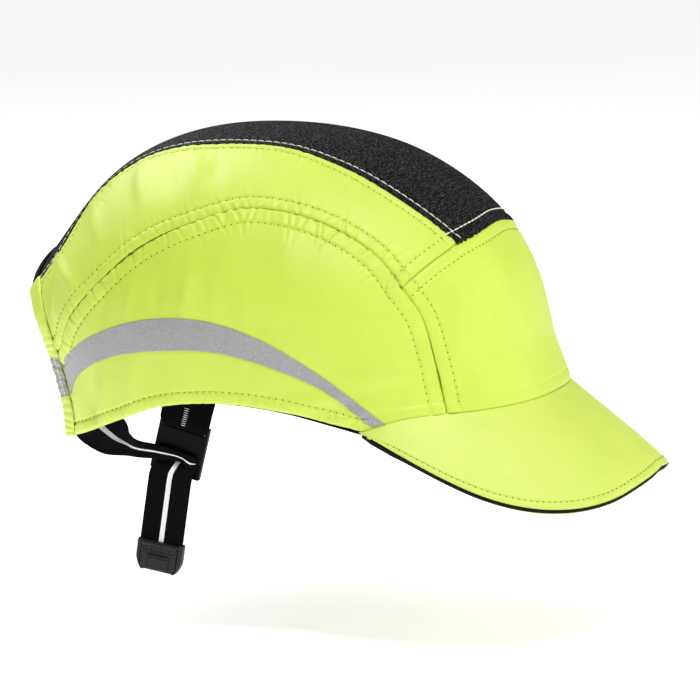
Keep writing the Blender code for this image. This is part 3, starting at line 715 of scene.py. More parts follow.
def build_floor(azimuth):
    """A pale floor that glows less on the camera's side."""
    floor_z = CAD_BOX[0].z - FLOOR_DROP
    corners = [(x * FLOOR_SIDE, y * FLOOR_SIDE, floor_z) for x, y in ((-1, -1), (1, -1), (1, 1), (-1, 1))]
    material, tree, shader = new_material("floor")
    place = add_node(tree, "ShaderNodeTexCoord")
    grain = add_node(tree, "ShaderNodeTexNoise", Scale=3.0)
    tree.links.new(place.outputs["Object"], grain.inputs["Vector"])
    pale = ramp_between(tree, grain.outputs["Fac"], (0.93, 0.93, 0.93), (0.96, 0.96, 0.96))
    tree.links.new(pale, shader.inputs["Base Color"])
    shader.inputs["Roughness"].default_value = 0.9
    shader.inputs["Emission Color"].default_value = (1.0, 1.0, 1.0, 1.0)
    forward = add_node(tree, "ShaderNodeVectorMath", operation="DOT_PRODUCT")
    tree.links.new(place.outputs["Object"], forward.inputs[0])
    forward.inputs[1].default_value = (np.sin(azimuth), -np.cos(azimuth), 0.0)
    fade = add_node(tree, "ShaderNodeMapRange")
    tree.links.new(forward.outputs["Value"], fade.inputs["Value"])
    for socket, value in zip(("From Min", "From Max", "To Min", "To Max"), FLOOR_FADE + FLOOR_GLOW):
        fade.inputs[socket].default_value = value
    tree.links.new(fade.outputs["Result"], shader.inputs["Emission Strength"])
    floor = add_mesh("floor", np.array(corners), [[0, 1, 2, 3]], material)


# Outer fabric

def crown_line(knots, count=260):
    """A seam as points on the crown."""
    return cast(seam(knots, count))


LINES = {
    "hem": crown_line(HEM),
    "root": cast(joined(seam(PEAK_ROOT, 60), seam(FRONT_HEM, 160), mirrored(seam(PEAK_ROOT, 60))[::-1])),
    "rear_low": crown_line(REAR_EDGE_LOW, 80),
    "rear_high": crown_line(REAR_EDGE_HIGH, 60),
    "arch_rear": crown_line(ARCH_REAR, 360),
    "arch_front": crown_line(ARCH_FRONT, 90),
    "front_seam": crown_line(FRONT_SEAM, 60),
    "mesh_side": crown_line(MESH_SIDE, 360),
    "mesh_front": crown_line(MESH_FRONT, 120),
    "mesh_rear": crown_line(MESH_REAR, 120),
}

FOLD_GAIN = 1.8
CLOTH_EASE = 0.00020
SIDE_FOLDS = (
    (-122, -15, 80, 0.013, 0.0040, 0.0008), (-128, -17, 75, 0.012, 0.0035, -0.0007),
    (-112, -9, 84, 0.012, 0.0040, 0.0005), (-134, -16, 70, 0.010, 0.0040, 0.0006),
    (-60, -10, 12, 0.022, 0.0035, 0.0007), (-50, -8, 4, 0.018, 0.0040, -0.0006),
    (-46, -4, 8, 0.014, 0.0040, 0.0006), (-54, -13, 20, 0.016, 0.0030, 0.0006),
    (-112, 12, 86, 0.010, 0.0030, 0.0004), (-104, 13, 88, 0.010, 0.0030, -0.0003),
    (-96, 13, 88, 0.012, 0.0030, 0.0004), (-88, 12, 92, 0.010, 0.0030, 0.0003),
    (-120, 8, 80, 0.010, 0.0030, -0.0003), (-80, 10, 96, 0.010, 0.0035, 0.0003),
    (-70, 22, 100, 0.018, 0.0080, 0.0004), (-90, 24, 90, 0.020, 0.0080, -0.0003),
)
SHOULDER_FOLDS = (
    (-128, 42, 140, 0.014, 0.0035, 0.0007), (-118, 47, 130, 0.014, 0.0035, -0.0005),
    (-108, 50, 120, 0.012, 0.0035, 0.0006), (-136, 28, 150, 0.016, 0.0040, 0.0005),
    (-138, 14, 160, 0.016, 0.0030, 0.0007), (-141, 8, 100, 0.012, 0.0025, -0.0006),
    (-98, 50, 110, 0.010, 0.0035, -0.0004),
)
FRONT_FOLDS = (
    (-30, 5, 80, 0.020, 0.0050, 0.0004), (-18, 8, 85, 0.022, 0.0060, -0.0003),
    (30, 5, 100, 0.020, 0.0050, 0.0004), (10, 2, 92, 0.022, 0.0060, 0.0003),
    (-38, -6, 15, 0.010, 0.0030, 0.0004),
)


def side_height(directions):
    p = cast(directions)
    h = sewn(p, LINES["arch_rear"], SIDE_ROW, 11, 0.0010, 0.0050, 0.0100)
    h += sewn(p, LINES["arch_front"], SIDE_ROW, 12, 0.00022)
    h += sewn(p, LINES["hem"], HEM_ROW, 13, 0.00070, 0.0044, 0.0062)
    h += sewn(p, LINES["rear_low"], SIDE_ROW, 16, 0.00060, 0.0060, 0.0160)
    h += sewn(p, LINES["root"], HEM_ROW, 14, 0.00020, 0.0060, 0.0050)
    return h + FOLD_GAIN * folds(p, SIDE_FOLDS) + waves(p, 0.05, 0.0008, 15) + CLOTH_EASE


def shoulder_height(directions):
    p = cast(directions)
    h = sewn(p, LINES["arch_rear"], SHOULDER_ROW, 21, 0.00085, 0.0050, 0.0105)
    h += sewn(p, LINES["mesh_side"], ROW * 0.8, 22, 0.00055, 0.0060, 0.0120)
    h += sewn(p, LINES["front_seam"], ROW, 23, 0.00020)
    return h + FOLD_GAIN * folds(p, SHOULDER_FOLDS) + waves(p, 0.045, 0.0006, 24) + CLOTH_EASE


def front_height(directions):
    p = cast(directions)
    sides = (LINES["arch_front"], mirrored(LINES["arch_front"]))
    h = sum(sewn(p, line, FRONT_ROW, seed, 0.00015) for seed, line in enumerate(sides, start=31))
    tops = (LINES["front_seam"], mirrored(LINES["front_seam"]), LINES["mesh_front"])
    h += sum(sewn(p, line, ROW, seed, 0.00010) for seed, line in enumerate(tops, start=33))
    h += sewn(p, LINES["root"], ROW, 37, 0.00008) * 0.6
    return h + FOLD_GAIN * folds(p, FRONT_FOLDS) + waves(p, 0.06, 0.0006, 38) + CLOTH_EASE


def mesh_height(directions):
    """The mesh lies on the panels at its edges, and is drawn down by the thread beside them."""
    p = cast(directions)
    h = waves(p, 0.05, 0.0003, 41)
    for line in (LINES["mesh_side"], mirrored(LINES["mesh_side"]), LINES["mesh_front"]):
        distance, _ = near(p, line)
        h += 0.00045 * np.exp(-(distance / 0.0028) ** 4)
        h -= 0.00030 * np.exp(-((distance - MESH_ROW) / GROOVE[1]) ** 2)
    return h


def mesh_thread_height(directions):
    return mesh_height(directions) + MESH_THREAD_LIFT


def mirrored_height(height):
    return lambda directions: height(directions * (1, -1, 1))


def cloth_panel(name, grid, height, material, node, slot="hi_vis_fabric", lift=0.0, thickness=CLOTH):
    """A panel of cloth on the crown, which stays above the shell under it."""
    depth = np.maximum(height(grid), DEEPEST) + lift
    item = sheet(name, crown_point(grid, depth), thickness, MATERIALS[material])
    finish_piece(item, "cap", slot, node)
    return item


def build_panels():
    arch_rear = seam(ARCH_REAR, 420)
    arch_front = seam(ARCH_FRONT, 168)
    hem = joined(seam(HEM, 336), seam(PEAK_ROOT, 84))
    side = patch(hem, arch_rear, seam(REAR_EDGE_LOW, 168), arch_front[::-1])
    cloth_panel("right_side_cloth", side, side_height, "hi_vis", "right_side_panel")
    cloth_panel("left_side_cloth", flipped(side), mirrored_height(side_height), "hi_vis", "left_side_panel")

    mesh_side = seam(MESH_SIDE, 420)
    front_seam = seam(FRONT_SEAM, 112)
    shoulder = patch(arch_rear, mesh_side, seam(REAR_EDGE_HIGH, 112), front_seam)
    cloth_panel("right_shoulder_cloth", shoulder, shoulder_height, "hi_vis", "right_shoulder_panel")
    cloth_panel("left_shoulder_cloth", flipped(shoulder), mirrored_height(shoulder_height), "hi_vis",
                "left_shoulder_panel")

    front_low = seam(FRONT_HEM, 304)
    front_high = joined(front_seam, seam(MESH_FRONT, 80), mirrored(front_seam)[::-1])
    front = patch(front_low, front_high, arch_front[::-1], mirrored(arch_front[::-1]))
    cloth_panel("front_cloth", front, front_height, "hi_vis", "front_panel")


DOWN = direction(-90, -20)
UP = direction(-90, 89)
BACKING = (0.0017, -0.00145, 0.00005)
MESH_STEPS = (400, 176)
MESH_OVER = 0.0007
FRAYED = 0.42
KNOT = 0.00016


def build_mesh():
    """Air mesh: a knitted sheet with small staggered holes, cut a little unevenly at the sides."""
    rows, columns = MESH_STEPS
    side = seam(MESH_SIDE, rows)
    grid = patch(side, mirrored(side), seam(MESH_REAR, columns), seam(MESH_FRONT, columns), -MESH_OVER)
    i, j = np.meshgrid(np.arange(rows + 1), np.arange(columns + 1), indexing="ij")
    knot = KNOT * (((i + j) % 2) + ((i // 2 + j // 2) % 2) - 1.0)
    points = crown_point(grid, mesh_height(grid) + knot)
    i, j = i[:-1, :-1], j[:-1, :-1]
    hole = (i % 2 == 1) & ((j + (i // 2) % 2) % 2 == 1)
    rng = np.random.default_rng(51)
    edge = (j == 0) | (j == columns - 1) | (i == rows - 1)
    hole |= edge & (rng.random(i.shape) < FRAYED)
    cloth = sheet("crown_mesh_cloth", points, 0.00035, MATERIALS["mesh"], ~hole)
    finish_piece(cloth, "cap", "mesh_fabric", "crown_mesh")


def build_backing():
    """Narrow strips of the same cloth behind the seams, as seam allowances close them from inside."""
    for name, knots in (("arch_rear", ARCH_REAR), ("arch_front", ARCH_FRONT), ("front_seam", FRONT_SEAM),
                        ("peak_root", PEAK_ROOT)):
        line = seam(knots, 160)
        half, depth, thickness = BACKING
        grid = between(shifted(line, DOWN, half), shifted(line, UP, half), 4)
        for side, piece in (("right", grid), ("left", flipped(grid))):
            points = crown_point(piece, depth)
            item = sheet(f"{side}_{name}_allowance", points, thickness, MATERIALS["hi_vis"])
            finish_piece(item, "cap", "hi_vis_fabric")


def stitch_pair(name, line, height, thread, **settings):
    stitch_row("right_" + name, line, height, thread, **settings)
    stitch_row("left_" + name, mirrored(line), mirrored_height(height), thread, **settings)


def build_stitches():
    fine = dict(thread=MATERIALS["thread"])
    pale = dict(thread=MATERIALS["pale_thread"], pitch=0.0034, gap=0.00002, holes=False, radius=0.00031,
                bow=0.00016)
    ahead = direction(0, 5)
    arch_rear = seam(ARCH_REAR, 200)
    arch_front = seam(ARCH_FRONT, 60)
    front_seam = seam(FRONT_SEAM, 60)
    mesh_side = seam(MESH_SIDE, 260)
    mesh_front = seam(MESH_FRONT, 90)
    rows = (
        ("arch_low", joined(arch_rear, arch_front), DOWN, SIDE_ROW, slice(3, -3), side_height, fine),
        ("arch_high", arch_rear, UP, SHOULDER_ROW, slice(3, -4), shoulder_height, fine),
        ("front_side", arch_front, ahead, FRONT_ROW, slice(2, -1), front_height, fine),
        ("front_low", front_seam, ahead, ROW, slice(3, None), front_height, fine),
        ("shoulder_front", front_seam, UP, ROW, slice(3, -4), shoulder_height, fine),
        ("mesh_low", mesh_side, DOWN, ROW * 0.8, slice(4, -4), shoulder_height, fine),
        ("mesh_high", mesh_side, UP, MESH_ROW, slice(2, None), mesh_thread_height, pale),
        ("hem", seam(HEM, 200), UP, HEM_ROW, slice(3, None), side_height, fine),
    )
    for name, line, towards, row, part, height, look in rows:
        stitch_pair(name + "_stitch", shifted(line, towards, row)[part], height, **look)
    front_row = run_on(shifted(mesh_front, UP, ROW), MESH_THREAD_OVERRUN)
    stitch_row("mesh_front_stitch", front_row, mesh_thread_height, **pale)
    stitch_row("front_high_stitch", shifted(mesh_front, direction(0, -5), ROW), front_height, **fine)


# Tape, bindings and linings

BAND_PROFILE = ((8.0, 0.15), (7.4, 0.75), (5.2, 1.3), (2.6, 1.9), (0.6, 2.1), (-0.8, 1.5), (-1.3, 0.3),
                (-0.9, -0.9), (0.6, -1.6), (3.0, -1.8), (5.0, -1.7))
MESH_BAND_PROFILE = ((5.0, 0.2), (4.4, 0.8), (2.8, 1.1), (0.8, 1.2), (-0.5, 0.8), (-0.9, 0.0), (-0.5, -0.8),
                     (0.8, -1.3), (3.0, -1.3))
GREY_FROM = -0.0290
GREY_TO = -0.0115
GREY_PROUD = 0.00028
BAND_FRONT = 15
BAND_CLOTH = 0.0004
ZIGZAG_COLUMNS = (3, 9)
ZIGZAG_PITCH = 0.0016
ZIGZAG_SWING = 0.0007
ZIGZAG_THREAD = 0.00027
BAND_FADE = 0.009
BAND_CORNER = 0.0026
BAND_OUT = 0.0013


def set_on_hem(line, inwards, along):
    """Draw the lower end of the rear band's line up to the hem, rounded at its outer corner."""
    hem = seam(HEM, 400)
    run = travelled(cast(hem))
    start = unit(np.gradient(line, axis=0))[0]
    on_hem = np.array([np.interp(max(inwards, 0.0), run, column) for column in hem.T])
    on_hem += unit(hem[1] - hem[0]) * min(inwards, 0.0) / ARM
    on_hem += start * rounded(inwards + BAND_OUT, BAND_CORNER) / ARM
    return unit(line + (on_hem - line[0]) * np.exp(-(along / BAND_FADE) ** 2)[:, None])


def band(line, towards, profile, seed, pucker, steps=26, spacing=0.0028, on_hem=False):
    """A strip of cloth folded over an edge; the profile holds millimetres inwards from it and outwards."""
    shape = smooth_line([(a * MM, b * MM, 0.0) for a, b in profile], steps)
    along = travelled(cast(line))
    flat = np.zeros_like(along)
    height = creases(flat, along, along[-1], seed, spacing, pucker, 1.0)
    columns = []
    for inwards, lift, _ in shape:
        moved = shifted(line, towards, inwards)
        if on_hem:
            moved = set_on_hem(moved, inwards, along)
        columns.append(crown_point(moved, lift + height * (lift > 0)))
    return np.stack(columns, axis=1)


def band_piece(name, points, material, slot, thickness, *nodes):
    item = sheet(name, points, thickness, MATERIALS[material])
    finish_piece(item, "cap", slot, *nodes)
    return item


def build_bindings():
    inside = direction(-90, 0)
    edge = joined(seam(REAR_EDGE_LOW, 150), seam(REAR_EDGE_HIGH, 90))
    outer = band(edge, inside, BAND_PROFILE, 61, 0.0005, on_hem=True)
    grey_rows = np.nonzero((outer[:, 8, 2] > GREY_FROM) & (outer[:, 8, 2] < GREY_TO))[0]
    band_part = outer[grey_rows[0]:grey_rows[-1] + 1, :BAND_FRONT]
    over = unit(np.cross(np.gradient(band_part, axis=0), np.gradient(band_part, axis=1)))
    over *= np.sign((over * band_part).sum())
    grey = band_part + GREY_PROUD * over
    rows = [grey[:, k] + 0.0002 * over[:, k] for k in ZIGZAG_COLUMNS]
    for side, flip in (("right", 1), ("left", -1)):
        mirror = np.array((1, flip, 1))
        order = slice(None, None, -flip)
        points = (outer * mirror)[order]
        item = band_piece(side + "_rear_band", points, "hi_vis", "hi_vis_fabric", BAND_CLOTH,
                          side + "_rear_binding")
        band_piece(side + "_rear_band_tape", (grey * mirror)[order], "tape", "reflective", 0.0002)
        for k, row in enumerate(rows):
            line = row * mirror
            normal = unit(line * (1, 1, 0.2))
            side_step = np.cross(unit(np.gradient(line, axis=0)), normal)
            count = 2 * int(travelled(line)[-1] / ZIGZAG_PITCH)
            zigzag = resampled(np.concatenate([line, normal, side_step], axis=1), count)
            swing = ZIGZAG_SWING * (-1.0) ** np.arange(len(zigzag))
            up = zigzag[:, 3:6]
            points = zigzag[:, :3] + swing[:, None] * zigzag[:, 6:] + 0.0001 * up
            threads = capsule_row(f"{side}_zigzag_{k}", points[:-1], points[1:], up[:-1], ZIGZAG_THREAD,
                                  0.00004, MATERIALS["pale_thread"])
            finish_piece(threads, "cap", "hi_vis_fabric")
    mesh_edge = seam(MESH_REAR, 200)
    piece = band(mesh_edge, direction(180, 60), MESH_BAND_PROFILE, 63, 0.0002)[::-1]
    item = band_piece("mesh_edge_band", piece, "lining", "lining", BAND_CLOTH, "mesh_binding")


TAPE_LIFT = 0.00032
TAPE_THICKNESS = 0.0002


def build_tape():
    grid = between(seam(TAPE_LOW, 420), seam(TAPE_HIGH, 420), 40)
    sides = (("right", grid, side_height), ("left", flipped(grid), mirrored_height(side_height)))
    for side, piece, height in sides:
        item = cloth_panel(side + "_tape", piece, height, "tape", side + "_reflective_tape", "reflective",
                           TAPE_LIFT, TAPE_THICKNESS)
        item.name = side + "_reflective_tape_band"


FACING_EDGE = ((0, 0.45, 0.7, 1), (0.0006, 0.0004, -0.0007, -0.0014))
FACING_RISE = 0.0080
FACING_DEPTH = -0.0014


def build_linings():
    hem = seam(HEM, 260)
    up = direction(-90, 60)
    share = np.linspace(0, 1, len(hem))
    low = shifted(hem, up, np.interp(share, *FACING_EDGE))
    high = shifted(hem, up, FACING_RISE)
    grid = between(low, high, 12)
    for side, piece in (("right", grid), ("left", flipped(grid))):
        p = cast(piece)
        depth = FACING_DEPTH + waves(p, 0.008, 0.0002, 71)
        item = sheet(side + "_hem_facing", crown_point(piece, depth), 0.0006, MATERIALS["lining"])
        finish_piece(item, "cap", "lining", side + "_hem_lining")


# Peak

EDGE_ROW = 0.0033
PEAK_ROLL = (0.0006, 0.0014)
ROOT_TUCK = 0.0022
PEAK_CORNER = 0.03


def peak_points(first, last, start_in, end_in, depth, steps, relief=None):
    """A grid on the peak between two shares of its width, drawn in from its root and its edge."""
    share = np.linspace(first, last, steps[0] + 1)
    knots = [(-a, e - PEAK_ROOT_DROP) for a, e in PEAK_ROOT]
    knots += [(a, e - PEAK_ROOT_DROP) for a, e in FRONT_HEM[::-1][1:-1]]
    knots += [(a, e - PEAK_ROOT_DROP) for a, e in PEAK_ROOT[::-1]]
    root_line = crown_point(seam(knots, 320), 0.0)
    turn = np.linspace(90, -90, 400)
    side = np.sin(np.radians(turn))
    across = np.sign(side) * np.abs(side) ** (2 / PEAK_POWER)
    ahead = np.cos(np.radians(turn)).clip(0) ** (2 / PEAK_POWER)
    drop = smooth_line([(a, z, 0.0) for a, z in PEAK_DROP], 80)
    height = np.interp(np.abs(turn), drop[:, 0], drop[:, 1])
    outline = np.stack([PEAK_START + PEAK_REACH * ahead, PEAK_HALF_WIDTH * across, height], axis=-1)
    edge_line = smooth_line(outline[::5], 320)
    root, edge = (
        np.stack([np.interp(share, np.linspace(0, 1, 321), column) for column in line.T], axis=-1)
        for line in (root_line, edge_line)
    )
    length = np.linalg.norm(edge - root, axis=-1)
    v = np.linspace(0, 1, steps[1] + 1)[None, :]
    start = np.clip(start_in / length, -0.3, 0.3)[:, None]
    end = 1 - np.clip(end_in / length, -0.3, 0.3)[:, None]
    v = start * (1 - v) + end * v
    flat = (1 - v)[..., None] * root[:, None] + v[..., None] * edge[:, None]
    flat[..., 2] += PEAK_CROWN * 4 * v * (1 - v) * (1 - (2 * share - 1) ** 2)[:, None]
    normal = unit(np.cross(np.gradient(flat, axis=0), np.gradient(flat, axis=1)))
    for corner in (share < PEAK_CORNER, share > 1 - PEAK_CORNER):
        steady = ~corner
        if corner.any() and steady.any():
            normal[corner] = normal[steady][0 if corner[0] else -1]
    rise = relief(flat, (1 - v) * length[:, None]) if relief else 0.0
    return flat - (depth - rise)[..., None] * normal if relief else flat - depth * normal


def peak_relief(points, inside):
    """The edge rolls over, and the stitch row draws the cloth down."""
    roll = -PEAK_ROLL[0] * (1 - np.clip(inside / PEAK_ROLL[1], 0, 1)) ** 2
    groove = -0.00022 * np.exp(-((inside - EDGE_ROW) / 0.0006) ** 2)
    return roll + groove + waves(points, 0.06, 0.0003, 81) + waves(points, 0.008, 0.00004, 82)


def under_relief(points, inside):
    return -peak_relief(points, inside)


def build_peak():
    board_depth = PEAK_COVER + PEAK_GAP
    under_depth = board_depth + PEAK_BOARD + PEAK_GAP
    # both covers take the paler peak cloth, whose colour carries a painted highlight
    top = peak_points(0, 1, -ROOT_TUCK, 0.0, 0.0, (260, 90), peak_relief)
    item = sheet("peak_top_cloth", top, PEAK_COVER, MATERIALS["peak_cloth_painted_highlight"])
    finish_piece(item, "cap", "hi_vis_fabric", "peak_top_cover")
    under = peak_points(0.001, 0.999, -ROOT_TUCK / 2, -0.0003, under_depth, (260, 90), under_relief)
    item = sheet("peak_under_cloth", under, PEAK_COVER, MATERIALS["peak_cloth_painted_highlight"])
    finish_piece(item, "cap", "hi_vis_fabric", "peak_under_cover")
    build_peak_edge(PEAK_COVER - 0.0001, PEAK_BOARD + 2 * PEAK_GAP + 0.0002)
    rows_of_thread = (("top", (0.02, 0.98), 0.0, peak_relief, 1),
                      ("under", (0.025, 0.975), under_depth + PEAK_COVER, under_relief, -1))
    for name, share, depth, relief, up in rows_of_thread:
        rows = peak_points(*share, EDGE_ROW + 0.001, EDGE_ROW, depth, (400, 1), relief)
        line = rows[:, 1]
        normal = up * unit(np.cross(np.gradient(line, axis=0), rows[:, 1] - rows[:, 0]))
        stitches("peak_" + name + "_stitch", "cap", "hi_vis_fabric", line, normal, MATERIALS["peak_thread"],
                 pitch=0.0026, gap=0.0006)


def build_peak_edge(depth, thickness):
    """The black strip round the peak's edge, between the two covers, rounded and grooved along its middle."""
    levels = np.linspace(0, 1, 9)
    rows = []
    for level in levels:
        grid = peak_points(0.001, 0.999, 0.0, 0.0003, depth + level * thickness, (320, 12))
        sides = ((grid[0, :-1], grid[4, :-1]), (grid[:, -1], grid[:, -2]),
                 (grid[-1, -2::-1], grid[-5, -2::-1]))
        line = np.concatenate([outer for outer, _ in sides])
        outward = unit(line - np.concatenate([inner for _, inner in sides]))
        bulge = 0.0003 * np.sin(np.pi * level) - 0.0002 * np.exp(-((level - 0.5) / 0.09) ** 2)
        rows.append(line + outward * bulge)
    points = np.stack(rows, axis=1)
    item = sheet("peak_edge_strip", points, 0.0006, MATERIALS["lining"])
    item.modifiers["thickness"].offset = 1.0
    finish_piece(item, "cap", "lining", "peak_edge_trim")


# Webbing straps

RIB_PITCH = 0.0012
RIB_STEP = 0.0002
RIB = 0.00009
STRIPE = 0.11
ACROSS = np.array([-1.0, -0.985, -0.95, -0.88, -0.7, -0.5, -0.3, -0.15, -STRIPE, -0.06, -0.014, 0.0,
                   0.014, 0.06, STRIPE, 0.15, 0.3, 0.5, 0.7, 0.88, 0.95, 0.985, 1.0])
HEM_WEBBING = ((0.0115, 0.0006, 0.0220), (0.0113, -0.0002, 0.0110), (0.0111, -0.0008, 0.0030),
               (0.0110, -0.0010, -0.0020), (0.0107, -0.0010, -0.0048), (0.0100, -0.0007, -0.0062),
               (0.0094, 0.0002, -0.0069), (0.0093, 0.0012, -0.0070), (0.0093, 0.0025, -0.0068),
               (0.0094, 0.0034, -0.0058), (0.0096, 0.0035, -0.0030), (0.0100, 0.0022, 0.0040),
               (0.0105, 0.0018, 0.0140))
TICKS = (0.0020, -0.0052, 9)
TICK_HALF = 0.0011
NAPE_ROOT = ((0.0070, 0.0842, -0.0135), (0.000, 0.001, 0.0095))
NAPE_FOLD = (((-0.0100, -0.0860, -0.0478), (0.0014, 0.0, 0.0028)),
             ((-0.0084, -0.0847, -0.0481), (0.0012, 0.0, 0.0015)),
             ((-0.0082, -0.0832, -0.0479), (0.0008, 0.0, 0.0010)))
TAIL_ROOT = ((-0.0140, -0.0822, -0.0470), (-0.0150, -0.0842, -0.0479), (-0.0163, -0.0858, -0.0498),
             (-0.0178, -0.0863, -0.0524), (-0.0186, -0.0862, -0.0552))
TAIL_SQUEEZE = (0.0080, 0.0086, 0.0090, 0.0094, 0.0095)
LEFT_TAB = (-0.0031, 0.0832, -0.0232, 0.0006)


def hung(points, pivot, tilt):
    """Points given across, in depth and in height about a pivot, where a tilted strap hangs."""
    turn = np.radians(tilt)
    x, y, z = np.moveaxis(np.asarray(points, dtype=float), -1, 0)
    across = x * np.cos(turn) + z * np.sin(turn)
    height = z * np.cos(turn) - x * np.sin(turn)
    return np.stack([across, y, height], axis=-1) + pivot


def closed_mesh(name, points, faces, materials, second=(), uv=None):
    """A closed mesh with its faces turned outwards; the faces listed in second take the second material."""
    item = add_mesh(name, points, faces, materials[0], uv)
    for material in materials[1:]:
        item.data.materials.append(material)
    if len(second):
        index = np.zeros(len(faces), np.int32)
        index[second] = 1
        item.data.polygons.foreach_set("material_index", index)
    solid = bmesh.new()
    solid.from_mesh(item.data)
    bmesh.ops.recalc_face_normals(solid, faces=solid.faces)
    solid.to_mesh(item.data)
    solid.free()
    return item


def ribbon(name, path, thickness=WEBBING, striped=True):
    """Webbing along a path of centres and of vectors to one edge, ribbed across, with a pale woven stripe."""
    path = resampled(path, max(4, int(travelled(path)[-1] / RIB_STEP)))
    centre, half, along = path[:, :3], path[:, 3:], travelled(path)
    normal = unit(np.cross(np.gradient(centre, axis=0), half))
    full = np.sqrt(1 - np.abs(ACROSS) ** 24)
    inside = np.abs(ACROSS) <= STRIPE
    ribs = RIB * (2 * np.abs(np.sin(np.pi * along / RIB_PITCH)) - 1)
    relief = np.where(inside & striped, -0.00005 * (ACROSS == 0), full * ribs[:, None])
    height = thickness / 2 * full + relief
    sheet_points = centre[:, None] + ACROSS[None, :, None] * half[:, None]
    outer = sheet_points + height[..., None] * normal[:, None]
    inner = (sheet_points - height[..., None] * normal[:, None])[:, -2:0:-1]
    points = np.concatenate([outer, inner], axis=1)
    rows, loop = points.shape[:2]
    i, j = np.meshgrid(np.arange(rows - 1), np.arange(loop), indexing="ij")
    base, after = i * loop, (j + 1) % loop
    faces = np.stack([base + j, base + loop + j, base + loop + after, base + after], axis=-1).reshape(-1, 4)
    middle = np.zeros(loop, bool)
    middle[:len(ACROSS) - 1] = inside[:-1] & inside[1:]
    pale = np.nonzero(np.tile(middle, rows - 1))[0] if striped else ()
    ends = [list(range(loop)), list(range((rows - 1) * loop, rows * loop))]
    width = np.linalg.norm(half, axis=-1).mean()
    side = np.concatenate([ACROSS, ACROSS[-2:0:-1]]) * width
    uv = np.stack(np.meshgrid(along, side, indexing="ij"), axis=-1).reshape(-1, 2)
    materials = [MATERIALS["webbing"], MATERIALS["stripe"]]
    item = closed_mesh(name, points.reshape(-1, 3), faces.tolist() + ends, materials, pale, uv)
    return item, sheet_points


def build_hem_webbing():
    """The doubled webbing from inside the cap, round the buckle's top bar and back up behind it."""
    knots = np.array(HEM_WEBBING)
    path = smooth_line(np.stack([0 * knots[:, 0], knots[:, 1], knots[:, 2], knots[:, 0]], axis=1), 200)
    centre = hung(path[:, :3], ANCHOR, BUCKLE_TILT)
    half = hung(np.stack([path[:, 3], 0 * path[:, 3], 0 * path[:, 3]], axis=1), (0, 0, 0), BUCKLE_TILT)
    item, points = ribbon("hem_webbing", np.concatenate([centre, half], axis=1), striped=False)
    finish_piece(item, None, "webbing", "right_strap_anchor", "buckle_webbing")
    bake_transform(item)
    z = np.linspace(*TICKS)
    falling = path[:100]
    y = np.interp(-z, -falling[:, 2], falling[:, 1]) - WEBBING / 2 - 0.00012
    starts, ends = (
        hung(np.stack([side + 0 * z, y, z], axis=1), ANCHOR, BUCKLE_TILT) for side in (-TICK_HALF, TICK_HALF)
    )
    up = np.tile((0.0, -1.0, 0.0), (len(z), 1))
    ticks = capsule_row("hem_webbing_ticks", starts, ends, up, 0.00016, 0.00003, MATERIALS["stripe"])
    finish_piece(ticks, None, "webbing")
    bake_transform(ticks)


def build_nape_strap():
    """The strap behind the head: sewn in on the left, pinched into the buckle's lower slot on the right."""
    knots = (NAPE_ROOT,) + NAPE_PATH + NAPE_FOLD
    path = smooth_line([(*centre, *half) for centre, half in knots], 400)
    item, points = ribbon("nape_webbing", path)
    finish_piece(item, None, "webbing", "nape_strap")
    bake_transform(item)
    x, y, low, high = LEFT_TAB
    z = np.linspace(low, high, 12)
    tab = np.stack([x + 0 * z, y + 0 * z, z, 0.0105 + 0 * z, 0 * z, 0 * z], axis=1)
    item, points = ribbon("left_anchor_tab", tab, 2 * WEBBING, striped=False)
    finish_piece(item, "cap", "webbing", "left_strap_anchor")


def build_tail():
    """The free strap: out of the buckle's lower slot and down to the clip."""
    turn = np.radians(TAIL_TILT)
    width = np.array(TAIL_SQUEEZE)
    tilt = np.radians(np.linspace(BUCKLE_TILT, TAIL_TILT, len(width)))
    half = np.stack([width * np.cos(tilt), 0 * width, -width * np.sin(tilt)], axis=1)
    root = smooth_line(np.concatenate([np.array(TAIL_ROOT), half], axis=1), 100)
    item, points = ribbon("tail_webbing_top", root)
    finish_piece(item, None, "webbing")
    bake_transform(item)
    z = np.linspace(-0.0006, -TAIL_LENGTH - 0.0016, 60)
    centre = hung(np.stack([0 * z, 0 * z, z], axis=1), TAIL_PIVOT, TAIL_TILT)
    half = np.tile((TAIL_WIDTH / 2 * np.cos(turn), 0.0, -TAIL_WIDTH / 2 * np.sin(turn)), (len(z), 1))
    item, points = ribbon("tail_webbing", np.concatenate([centre, half], axis=1))
    finish_piece(item, None, "webbing", "strap_tail")
    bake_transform(item)


# Clip

CLIP_OUTLINE = ((0.0, 9.5), (0.25, 9.85), (0.7, 10.0), (7.0, 10.0), (8.6, 9.75), (10.2, 9.15), (11.4, 8.5),
                (12.3, 7.95), (12.75, 7.55), (12.95, 7.1), (13.0, 6.6))
JAW_OUTLINE = ((0.3, 7.9), (10.2, 7.9), (11.4, 7.6), (12.1, 7.1), (12.45, 6.5), (12.55, 6.0))
RAIL_GAP = 0.25
RAIL_FRONT = -1.5
CELLS = (2.75, 4.5, 3.8, 1.55)
TAB_OUTLINE = (4.5, 5.9, 12.2)
TAB_PROUD = 0.42
RIDGES = (6.25, 7.45)
DIMPLE = (-2.6, 10.4, 0.5)


def step_up(value, edge, soft=0.10):
    """0 below an edge and 1 above it, with a soft slope."""
    t = np.clip((value - edge) / soft + 0.5, 0, 1)
    return t * t * (3 - 2 * t)


def inside_band(value, low, high, soft=0.10):
    return step_up(value, low, soft) * (1 - step_up(value, high, soft))


def rounded(inset, radius):
    """How far a face with a rounded rim has fallen back, by the distance from the rim."""
    t = np.clip(1 - inset / radius, 0, 1)
    return radius * (1 - np.sqrt(1 - t * t))


